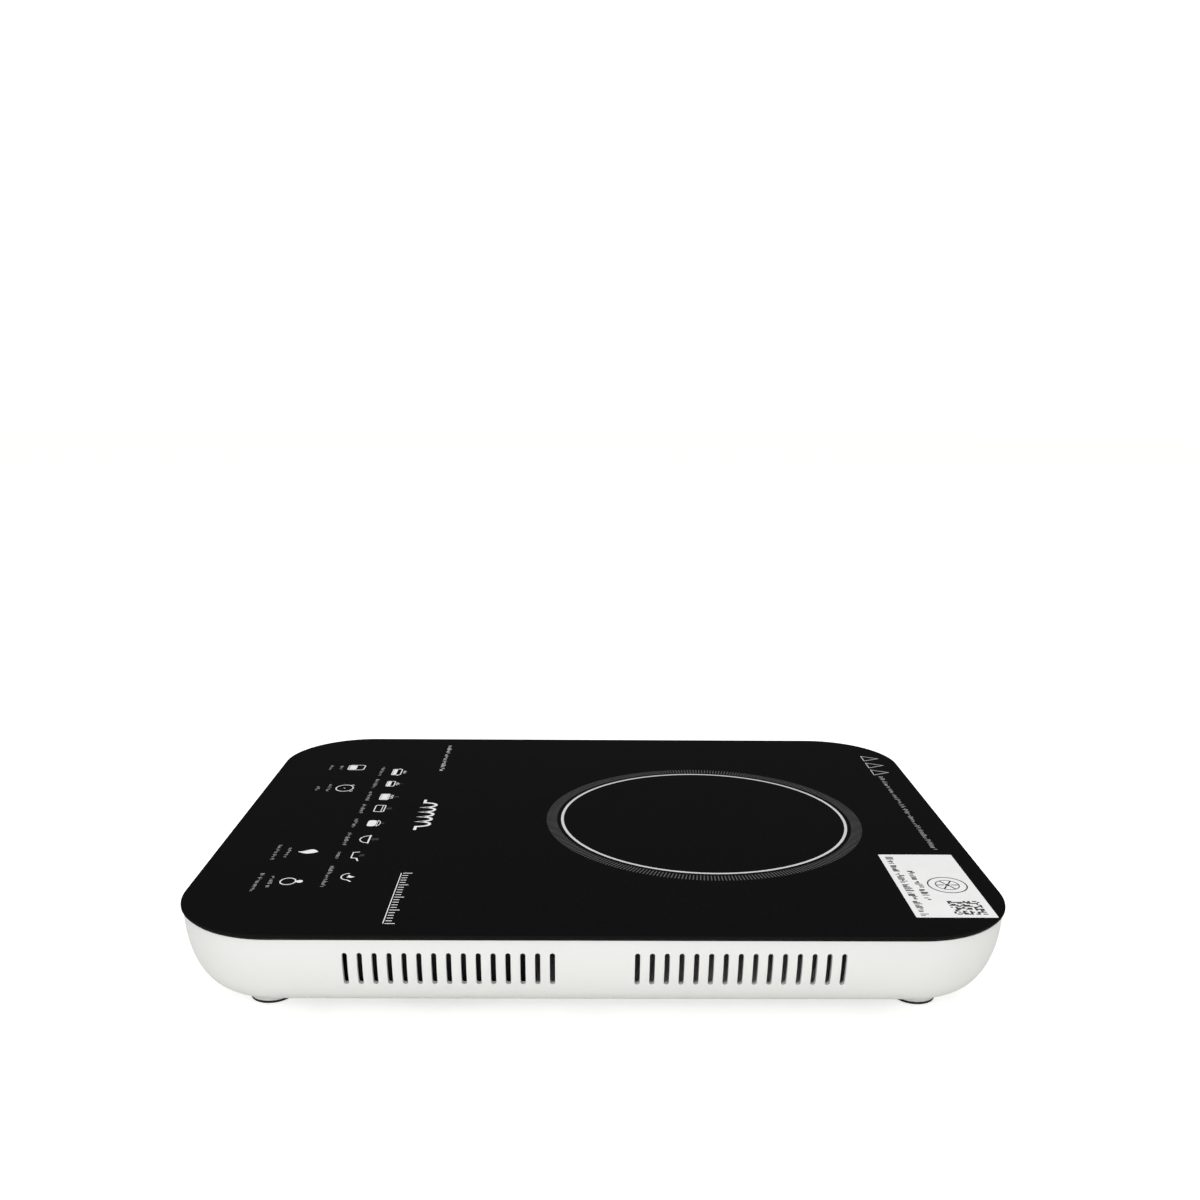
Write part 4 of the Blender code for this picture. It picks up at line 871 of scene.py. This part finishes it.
def make_feet():
    """Rubber pads, dished and grooved below, each with a peg for its boss's socket."""
    groove, edge, nick = 0.0002, 0.0003, 0.0001
    for foot in FEET:
        low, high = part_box(foot)
        radius = (high.x - low.x) / 2
        profile = [(0, groove), (0.0030, groove), (0.0032, 0), (0.0046, 0), (0.0048, groove)]
        profile += [(0.0056, groove), (0.0058, 0), *rounded_corner(radius, 0, edge, up=False)]
        profile += [(radius, PAD_THICK - nick), (radius - nick, PAD_THICK), (PEG_RADIUS, PAD_THICK)]
        profile += [(PEG_RADIUS, high.z - edge), (PEG_RADIUS - edge, high.z), (0, high.z)]
        place = above((low.x + high.x) / 2, (low.y + high.y) / 2)
        stand_in(foot, turned_mesh(profile, 56, place))


def cross_recess(x, y, face, depth):
    """A cross cutter whose arms narrow with depth, from a screw head's face."""
    bm = bmesh.new()
    for turn in (0, 90):
        spin = Matrix.Translation((x, y, 0)) @ Matrix.Rotation(math.radians(turn), 4, "Z")
        rows = []
        for level, half_long, half_wide in ((-0.3, 0.0018, 0.00045), (1, 0.0007, 0.00025)):
            z = face + level * depth
            corners = ((-1, -1), (1, -1), (1, 1), (-1, 1))
            row = [spin @ Vector((a * half_long, b * half_wide, z)) for a, b in corners]
            rows.append([bm.verts.new(point) for point in row])
        skin(bm, rows, ends=True)
    return mesh_from(bm)


def make_housing_screws():
    """Pan heads that face down, with a cross recess, and plain shanks with a blunt point."""
    head_top = COLUMN_SHELF - GAP
    for screw, (x, y) in zip(HOUSING_SCREWS, places(HOUSING_SCREWS)):
        low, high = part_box(screw)
        profile = [(0, low.z), (0.0012, low.z + 0.00004), (0.0021, low.z + 0.0003), (0.0027, low.z + 0.0009)]
        profile += [(SCREW_HEAD, low.z + 0.0016), (SCREW_HEAD, head_top), (SCREW_RADIUS, head_top)]
        profile += [(SCREW_RADIUS, high.z - 0.0015), (SCREW_RADIUS * 0.4, high.z), (0, high.z)]
        mesh = turned_mesh(profile, 40, above(x, y))
        mesh = combined(mesh, cross_recess(x, y, low.z, 0.0011), "DIFFERENCE", crossed=True)
        stand_in(screw, sharpened(mesh))


def make_gland():
    """A rubber gland: a flange outside, a neck in the wall and a tapered lip inside."""
    low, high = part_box("cord_gland")
    groove_out, groove_in = GLAND_SEAT_Y + GAP, GLAND_BOSS_Y[0] - GAP
    edge, mouth, lip = 0.0012, 0.0005, 0.0003
    profile = [(GLAND_BORE + mouth, high.y), *rounded_corner(GLAND_FLANGE, high.y, edge)]
    profile += [(GLAND_FLANGE, groove_out), (GLAND_NECK, groove_out), (GLAND_NECK, groove_in)]
    profile += [(GLAND_FLANGE - edge, groove_in), (GLAND_NECK + 0.0004, low.y)]
    profile += [(GLAND_BORE + lip, low.y), (GLAND_BORE, low.y + lip), (GLAND_BORE, high.y - mouth)]
    stand_in("cord_gland", turned_mesh(profile, 56, along_gland(), closed=True))


# Coil, choke and fan


def make_coil():
    """One length of litz wire laid in a flat spiral."""
    low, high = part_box("coil_winding")
    pitch = ((high.x - low.x) / 2 - COIL_INNER) / (COIL_TURNS + WIRE_SHARE)
    half = pitch * WIRE_SHARE / 2
    section = rounded_outline(half, (high.z - low.z) / 2, 0.0011, 3)
    steps = 60  # in each turn
    bm = bmesh.new()
    rows = []
    for step in range(COIL_TURNS * steps + 1):
        angle = 2 * math.pi * step / steps
        radius = COIL_INNER + half + pitch * step / steps
        row = []
        for across, along in section:
            out = Vector((math.cos(angle), math.sin(angle), 0)) * (radius + across)
            row.append(bm.verts.new(COIL_CENTRE + out + Vector((0, 0, along))))
        rows.append(row)
    skin(bm, rows, ends=True)
    stand_in("coil_winding", mesh_from(bm))


def squared(value):
    """A cosine or sine bent so that its circle becomes a rounded square."""
    return math.copysign(abs(value) ** 0.45, value)


def make_choke():
    """Enamelled wire wound round a ring core that stands on a low foot."""
    low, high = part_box("filter_choke")
    inner, outer = CHOKE_RING
    centre = middle("filter_choke")
    centre.z = high.z - CHOKE_HALF
    half = (outer - inner) / 2 - CHOKE_WIRE
    tall = CHOKE_HALF - CHOKE_WIRE
    steps, sides = 24, 8  # in each turn, and around the wire
    bm = bmesh.new()
    rows = []
    for step in range(CHOKE_TURNS * steps):
        about = 2 * math.pi * step / (CHOKE_TURNS * steps)
        over = 2 * math.pi * step / steps
        out = Vector((math.cos(about), math.sin(about), 0))
        off = out * half * squared(math.cos(over)) + Vector((0, 0, tall * squared(math.sin(over))))
        place = centre + out * (inner + outer) / 2 + off
        aside = Vector((-out.y, out.x, 0))
        row = []
        for side in range(sides):
            turn = 2 * math.pi * side / sides
            around = off.normalized() * math.cos(turn) + aside * math.sin(turn)
            row.append(bm.verts.new(place + around * CHOKE_WIRE))
        rows.append(row)
    skin(bm, rows, closed=True)
    core = [(inner + 2 * CHOKE_WIRE, -tall + CHOKE_WIRE), (outer - 2 * CHOKE_WIRE, -tall + CHOKE_WIRE)]
    core += [(radius, -height) for radius, height in core[::-1]]
    add_turned(bm, core, 48, Matrix.Translation(centre), closed=True)
    foot_radius, foot_top = outer - 0.0015, centre.z - CHOKE_HALF
    foot = [(0, low.z), *rounded_corner(foot_radius, low.z, 0.0003, up=False)]
    foot += [(foot_radius, foot_top), (0, foot_top)]
    add_turned(bm, foot, 48, above(centre.x, centre.y))
    stand_in("filter_choke", mesh_from(bm))


def add_blade(bm, start):
    """A pitched blade, swept back and thinner towards its tip and both its edges."""
    sections = []
    stations, chord_steps = 8, 10
    root = HUB_RADIUS - 0.0006
    for i in range(stations + 1):
        share = i / stations
        radius = root + (BLADE_TIP - root) * share
        low, high = BLADE_LOW + 0.0006 * share, BLADE_HIGH - 0.0004 * share
        sweep, chord = 18 * share**1.5, 40 - 6 * share  # degrees
        thickest = 0.00055 - 0.0002 * share
        upper, lower = [], []
        for k in range(chord_steps + 1):
            part = k / chord_steps
            bulge = math.sin(math.pi * part)
            angle = math.radians(start + sweep + chord * part)
            height = low + (high - low) * (part + 0.10 * bulge)
            half = thickest * (0.35 + 0.65 * bulge)
            x, y = FAN_CENTRE.x + radius * math.cos(angle), FAN_CENTRE.y + radius * math.sin(angle)
            upper.append((x, y, height + half))
            lower.append((x, y, height - half))
        sections.append([bm.verts.new(point) for point in upper + lower[::-1]])
    skin(bm, sections, ends=True)


def make_impeller():
    """A hub cup with a grooved face and a collar for its shaft, and the blades around it."""
    low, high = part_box("fan_impeller")
    bore, collar, wall = 0.0018, 0.0036, 0.0016
    inner = HUB_RADIUS - wall
    groove, ceiling, collar_end = high.z - 0.0003, high.z - wall, high.z - wall - 0.001
    profile = [(bore, high.z), (0.0105, high.z), (0.0107, groove), (0.0113, groove), (0.0115, high.z)]
    profile += [*rounded_corner(HUB_RADIUS, high.z, 0.0012), (HUB_RADIUS, low.z), (inner, low.z)]
    profile += [(inner, ceiling), (collar, ceiling), (collar, collar_end), (bore, collar_end)]
    hub = turned_mesh(profile, 64, above(FAN_CENTRE.x, FAN_CENTRE.y), closed=True)
    bm = bmesh.new()
    for i in range(BLADES):
        add_blade(bm, 360 * i / BLADES)
    hub = combined(hub, mesh_from(bm), "UNION")
    stand_in("fan_impeller", sharpened(hub), ROTOR)


# Printed marks


class Marks:
    """Flat printed marks, in millimetres on the plate, gathered into one thin piece."""

    LIFT = 0.0000012  # between marks that cross, so that their faces never coincide

    def __init__(self):
        self.bm = bmesh.new()
        self.count = 0

    def level(self):
        self.count += 1
        return self.LIFT * (self.count % 6)

    def fill(self, points):
        z = self.level()
        self.bm.faces.new([self.bm.verts.new((x * MM, y * MM, z)) for x, y in points])

    def stroke(self, points, width, closed=False):
        """A line of even width with mitred bends."""
        z = self.level()
        last = len(points) - 1
        sides = []
        for i, point in enumerate(points):
            before = points[i - 1] if i or closed else None
            after = points[(i + 1) % len(points)] if i < last or closed else None
            sides.append(self.corner(before, point, after, width / 2, z))
        for i in range(last + 1 if closed else last):
            (a, b), (c, d) = sides[i], sides[(i + 1) % len(sides)]
            self.bm.faces.new((a, c, d, b))

    def corner(self, before, point, after, half, z):
        here = Vector(point)
        into = (here - Vector(before)).normalized() if before is not None else None
        out = (Vector(after) - here).normalized() if after is not None else None
        into, out = into or out, out or into
        along = (into + out).normalized()
        across = Vector((-along.y, along.x))
        reach = half / max(0.4, across.dot(Vector((-into.y, into.x))))
        ends = (here + across * reach, here - across * reach)
        return [self.bm.verts.new((end.x * MM, end.y * MM, z)) for end in ends]

    def ring(self, centre, radius, width, steps=64):
        """A closed ring, or an ellipse where radius is a pair."""
        self.stroke(arc(centre, radius, 0, 360, steps)[:-1], width, closed=True)

    def disc(self, centre, radius, steps=24):
        self.fill(arc(centre, radius, 0, 360, steps)[:-1])

    def bar(self, x0, y0, x1, y1, corner=0.0):
        square = [(x0, y0), (x1, y0), (x1, y1), (x0, y1)]
        self.fill(rounded_bar(x0, y0, x1, y1, corner) if corner else square)

    def finished(self, name, surface, thickness, look):
        """The marks as one closed, thin piece whose underside lies on surface."""
        self.bm.normal_update()
        for face in self.bm.faces:
            if face.normal.z < 0:
                face.normal_flip()
        mesh = bpy.data.meshes.new("marks")
        self.bm.to_mesh(mesh)
        self.bm.free()
        mesh.transform(Matrix.Translation((0, 0, surface)))
        obj = loose(mesh)
        layer = obj.modifiers.new("ink", "SOLIDIFY")
        layer.thickness = thickness
        layer.offset = 1
        piece(name, applied(obj), look)


def rounded_bar(x0, y0, x1, y1, corner):
    outline = rounded_outline((x1 - x0) / 2, (y1 - y0) / 2, corner, 5)
    return [((x0 + x1) / 2 + x, (y0 + y1) / 2 + y) for x, y in outline]


def add_tally(marks, x0, x1, y0, y1, seed, pitch=0.8, word=(3, 8), weight=1.0):
    """A row of short upright ticks in groups, where small print would be."""
    draw = random.Random(seed)
    height = y1 - y0
    last = x1 - pitch * 0.6
    x = x0
    while x < last:
        for _ in range(draw.randint(*word)):
            if x > last:
                break
            foot = y0 + height * draw.choice((0, 0, 0.35))
            top = y0 + height * draw.choice((0.55, 0.7, 0.8, 1.0))
            marks.bar(x, foot, x + weight * pitch * draw.choice((0.22, 0.3, 0.4)), top)
            x += pitch
        x += pitch


PLATE_PRINT = 0.00003  # thickness of the ink, in metres; what follows is in millimetres
STROKE = 0.55
FINE = 0.45
HAIR = 0.4
BOLD = 0.8
ICON_Y = -114.6
ZONE = (COIL_CENTRE.x / MM + 1.28, COIL_CENTRE.y / MM)
ZONE_LINE = 72.4
TICKS_FROM, TICKS_TO, TICK_COUNT = 75.1, 80.5, 300


def ray(centre, angle, reaches):
    """The two ends of a line that points away from a centre; angle in degrees."""
    turn = math.radians(angle)
    return [(centre[0] + reach * math.cos(turn), centre[1] + reach * math.sin(turn)) for reach in reaches]


def print_zone():
    line = Marks()
    line.ring(ZONE, ZONE_LINE, 1.4, 256)
    line.finished("zone_line", GLASS_TOP, PLATE_PRINT, INK_RING)
    ticks = Marks()
    for i in range(TICK_COUNT):
        ticks.stroke(ray(ZONE, 360 * i / TICK_COUNT, (TICKS_FROM, TICKS_TO)), STROKE)
    ticks.finished("zone_ticks", GLASS_TOP, PLATE_PRINT, INK_GREY)


def steam(pale, x, y0, y1, spread=0.9, count=3):
    """Thin rising wisps above a pot."""
    for i in range(count):
        middle_x = x + (i - (count - 1) / 2) * spread
        points = []
        for step in range(9):
            share = step / 8
            points.append((middle_x + 0.22 * math.sin(2 * math.pi * share), y0 + (y1 - y0) * share))
        pale.stroke(points, 0.3)


def pot(marks, x, half, low, high, filled=0.0, lid=False):
    """A straight pot seen from the side: filled is the share of it drawn solid."""
    marks.stroke(rounded_bar(x - half, low, x + half, high, 0.9), STROKE, closed=True)
    if filled:
        level = low + 0.5 + (high - low - 1.0) * filled
        marks.bar(x - half + 0.5, low + 0.5, x + half - 0.5, level)
    if lid:
        marks.stroke([(x - half, high - 1.4), (x + half, high - 1.4)], HAIR)


def print_function_icons(marks, pale):
    """The eight cooking functions, from the left."""
    low = ICON_Y
    x = -73.2  # a half-full pot with handles and two arrows above it
    pot(marks, x, 5.2, low, low + 5.0, 0.5)
    for side in (-1, 1):
        marks.stroke([(x + side * 5.5, low + 3.6), (x + side * 6.3, low + 3.6)], BOLD)
        tip = x + side * 1.2
        marks.stroke([(tip - 0.8, low + 6.2), (tip, low + 7.6), (tip + 0.8, low + 6.2)], FINE)
    x = -52.3  # a pot that splashes
    pot(marks, x, 4.3, low, low + 4.3, 0.55)
    for angle in (40, 75, 105, 140):
        marks.stroke(ray((x, low + 4.2), angle, (1.2, 2.8)), FINE)
    steam(pale, x, low + 6.2, low + 9.2, 0.8, 1)
    x = -30.4  # a brimming pot with two bubbles
    pot(marks, x, 4.6, low, low + 4.6, 1.0)
    for side in (-1, 1):
        marks.stroke(arc((x + side * 1.6, low + 5.6), 1.1, 200, -20), FINE)
    steam(pale, x, low + 7.0, low + 9.8, 0.8, 2)
    x = -12.0  # a pot with a lid line
    pot(marks, x, 4.9, low + 0.1, low + 5.2, lid=True)
    steam(pale, x, low + 6.0, low + 8.8)
    x = 10.0  # a round rice cooker with its lid
    marks.fill(rounded_bar(x - 4.2, low, x + 4.2, low + 4.4, 1.7))
    marks.stroke(arc((x, low + 4.9), (3.8, 1.5), 0, 180), FINE)
    marks.stroke([(x - 4.3, low + 4.9), (x + 4.3, low + 4.9)], HAIR)
    steam(pale, x, low + 6.9, low + 8.4, 0.8, 2)
    x = 32.2  # a wok
    marks.stroke(arc((x, low + 4.6), (4.7, 4.4), 180, 360, 20), STROKE)
    marks.stroke([(x - 5.4, low + 4.7), (x + 5.4, low + 4.7)], BOLD)
    steam(pale, x, low + 5.8, low + 9.2)
    x = 53.0  # a frying pan
    pan = [(x - 4.2, low + 3.2), (x - 3.6, low + 0.2), (x + 3.2, low + 0.2), (x + 3.8, low + 3.2)]
    marks.stroke(pan, STROKE)
    marks.stroke([(x + 3.9, low + 2.9), (x + 6.8, low + 3.9)], BOLD)
    steam(pale, x, low + 3.6, low + 5.8)
    x = 78.6  # a deep pan with a flame in it
    marks.stroke(arc((x, low + 3.0), (3.6, 3.0), 175, 365, 18), STROKE)
    flame = [(-1.9, 3.2), (0.9, 2.6), (1.3, 4.6), (0.2, 6.2), (-0.5, 4.6)]
    marks.fill([(x + across, low + up) for across, up in flame])
    marks.stroke([(x + 3.8, low + 3.2), (x + 5.6, low + 5.2)], 0.7)


def print_key_icons(marks):
    """The four touch keys: lock, timer, heat and temperature."""
    line = 0.6
    marks.stroke(rounded_bar(-85.6, -141.2, -77.0, -132.0, 1.7), line, closed=True)
    marks.bar(-84.9, -140.5, -77.7, -136.4, 0.9)
    x = -44.6
    marks.ring((x, -136.6), (5.3, 4.6), line, 40)
    marks.disc((x, -136.6), 0.45, 12)
    for side in (-1, 1):
        turn = side * 75
        marks.stroke(arc((x + side * 3.9, -132.9), 1.3, 60 - turn, 150 - turn, 6), line)
    marks.fill(flame_outline(48.7, -140.8, 9.5, 2.9))
    x = 84.1
    marks.ring((x, -137.4), (3.7, 3.4), line, 36)
    marks.stroke([(x, -134.0), (x, -132.4)], 1.5)
    marks.disc((x, -132.2), 1.5, 20)


def flame_outline(x, y, height, half):
    """A flame that stands on a narrow tail and narrows again to its tip."""
    right, left = [], []
    for step in range(13):
        share = step / 12
        width = half * math.sin(math.pi * share**1.6) ** 0.9 * (1 - 0.25 * share) + 0.25 * (1 - share)
        lean = 0.5 * math.sin(2 * math.pi * share)
        right.append((x + lean + width, y + height * share))
        left.append((x + lean - width, y + height * share))
    return right + left[-2::-1]


FUNCTION_LABELS = (  # where each row of ticks starts and ends
    (-82.4, -66.1), (-59.8, -44.7), (-38.6, -24.4), (-18.2, -4.8),
    (3.9, 16.7), (23.5, 40.4), (49.1, 58.2), (66.4, 90.5),
)
KEY_LABELS = (  # the same, and its lower and upper edges
    (-84.7, -77.3, -146.4, -144.1), (-85.2, -76.7, -152.1, -150.3),
    (-50.9, -38.3, -146.1, -144.0), (-47.2, -40.1, -152.3, -150.2),
    (43.4, 56.4, -146.3, -144.4), (40.4, 58.5, -151.9, -150.1),
    (78.4, 91.3, -146.0, -144.0), (75.2, 94.9, -151.8, -149.8),
)


def print_panel():
    marks, pale, labels = Marks(), Marks(), Marks()
    print_function_icons(marks, pale)
    print_key_icons(marks)
    print_emblem(marks)
    print_scale(marks, 74.4, 127.6, -88.0)
    add_tally(marks, -124.9, -75.5, -88.2, -85.6, 5, 1.6, (6, 10))
    for seed, (x0, x1) in enumerate(FUNCTION_LABELS):
        add_tally(labels, x0, x1, -121.9, -119.8, 20 + seed)
    for seed, (x0, x1, y0, y1) in enumerate(KEY_LABELS):
        add_tally(labels, x0, x1, y0, y1, 40 + seed)
    marks.finished("panel_marks", GLASS_TOP, PLATE_PRINT, INK_WHITE)
    pale.finished("panel_wisps", GLASS_TOP, PLATE_PRINT, INK_GREY)
    labels.finished("panel_labels", GLASS_TOP, PLATE_PRINT, INK_PALE)


def print_scale(marks, x0, x1, y):
    """A plain scale: fine upright marks between longer ones, over a thin line."""
    count, half = 20, 0.27
    marks.stroke([(x0, y), (x1, y)], HAIR)
    for i in range(count + 1):
        x = x0 + (x1 - x0) * i / count
        marks.bar(x - half, y + 0.8, x + half, y + (5.0 if i % 5 == 0 else 3.4))


def print_emblem(marks):
    """The circuit symbol of a coil: a row of humps between two leads."""
    middle_x, y, lead = -3.3, -89.6, 4.8
    humps, reach, tall = 5, 3.55, 6.6
    first = middle_x - reach * (humps - 1)
    points = [(first - reach - lead, y), (first - reach, y)]
    for i in range(humps):
        points += arc((first + 2 * reach * i, y), (reach, tall), 180, 0, 14)[1:]
    points.append((first + reach * (2 * humps - 1) + lead, y))
    marks.stroke(points, 1.5)


def print_rear_notice():
    """Three plain triangles, and a row of ticks that spells nothing."""
    marks, text = Marks(), Marks()
    for x in (-102.6, -89.4, -76.2):
        marks.stroke([(x - 4.6, 161.9), (x + 4.6, 161.9), (x, 171.0)], 0.6, closed=True)
    marks.finished("rear_marks", GLASS_TOP, PLATE_PRINT, INK_PALE)
    add_tally(text, -68.8, 43.8, 163.7, 166.3, 70, 1.15, (5, 12))
    text.finished("rear_line", GLASS_TOP, PLATE_PRINT, INK_PALE)


STICKER_TOP = GLASS_TOP + 0.00006


def make_sticker():
    """White paper with rows of ticks, a spoked ring and a square of scattered blocks."""
    base = Marks()
    base.bar(50.0, 135.8, 120.3, 170.8, 0.6)
    base.finished("sticker", GLASS_TOP, STICKER_TOP - GLASS_TOP, STICKER_PAPER)
    ink = Marks()
    add_tally(ink, 53.0, 119.0, 138.3, 142.0, 80, 1.3, (5, 10), 2.0)
    add_tally(ink, 70.0, 102.5, 144.5, 147.7, 81, 1.5, (3, 7), 2.0)
    centre = (86.1, 158.7)
    ink.ring(centre, 8.6, 0.6)
    ink.ring(centre, 5.2, FINE, 48)
    for angle in range(30, 360, 60):
        ink.stroke(ray(centre, angle, (1.6, 5.0)), 0.7)
    ink.disc(centre, 1.1)
    add_blocks(ink, 103.5, 153.3, 14, 82)
    ink.finished("sticker_print", STICKER_TOP, PLATE_PRINT, STICKER_INK)


def add_blocks(ink, x0, y0, count, seed):
    """A square of scattered blocks that spells nothing."""
    draw = random.Random(seed)
    side = 0.94
    for x in range(count):
        for y in range(count):
            if draw.random() < 0.5:
                ink.bar(x0 + x, y0 + y, x0 + x + side, y0 + y + side)


# CAD nodes that keep their own shape


def dress_cad_nodes():
    for node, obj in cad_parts.items():
        obj.data.materials[0] = LOOKS[slot_of(node)]


make_studio()
make_glass()
make_housing()
make_feet()
make_housing_screws()
make_gland()
make_coil()
make_choke()
make_impeller()
print_zone()
print_panel()
print_rear_notice()
make_sticker()
dress_cad_nodes()
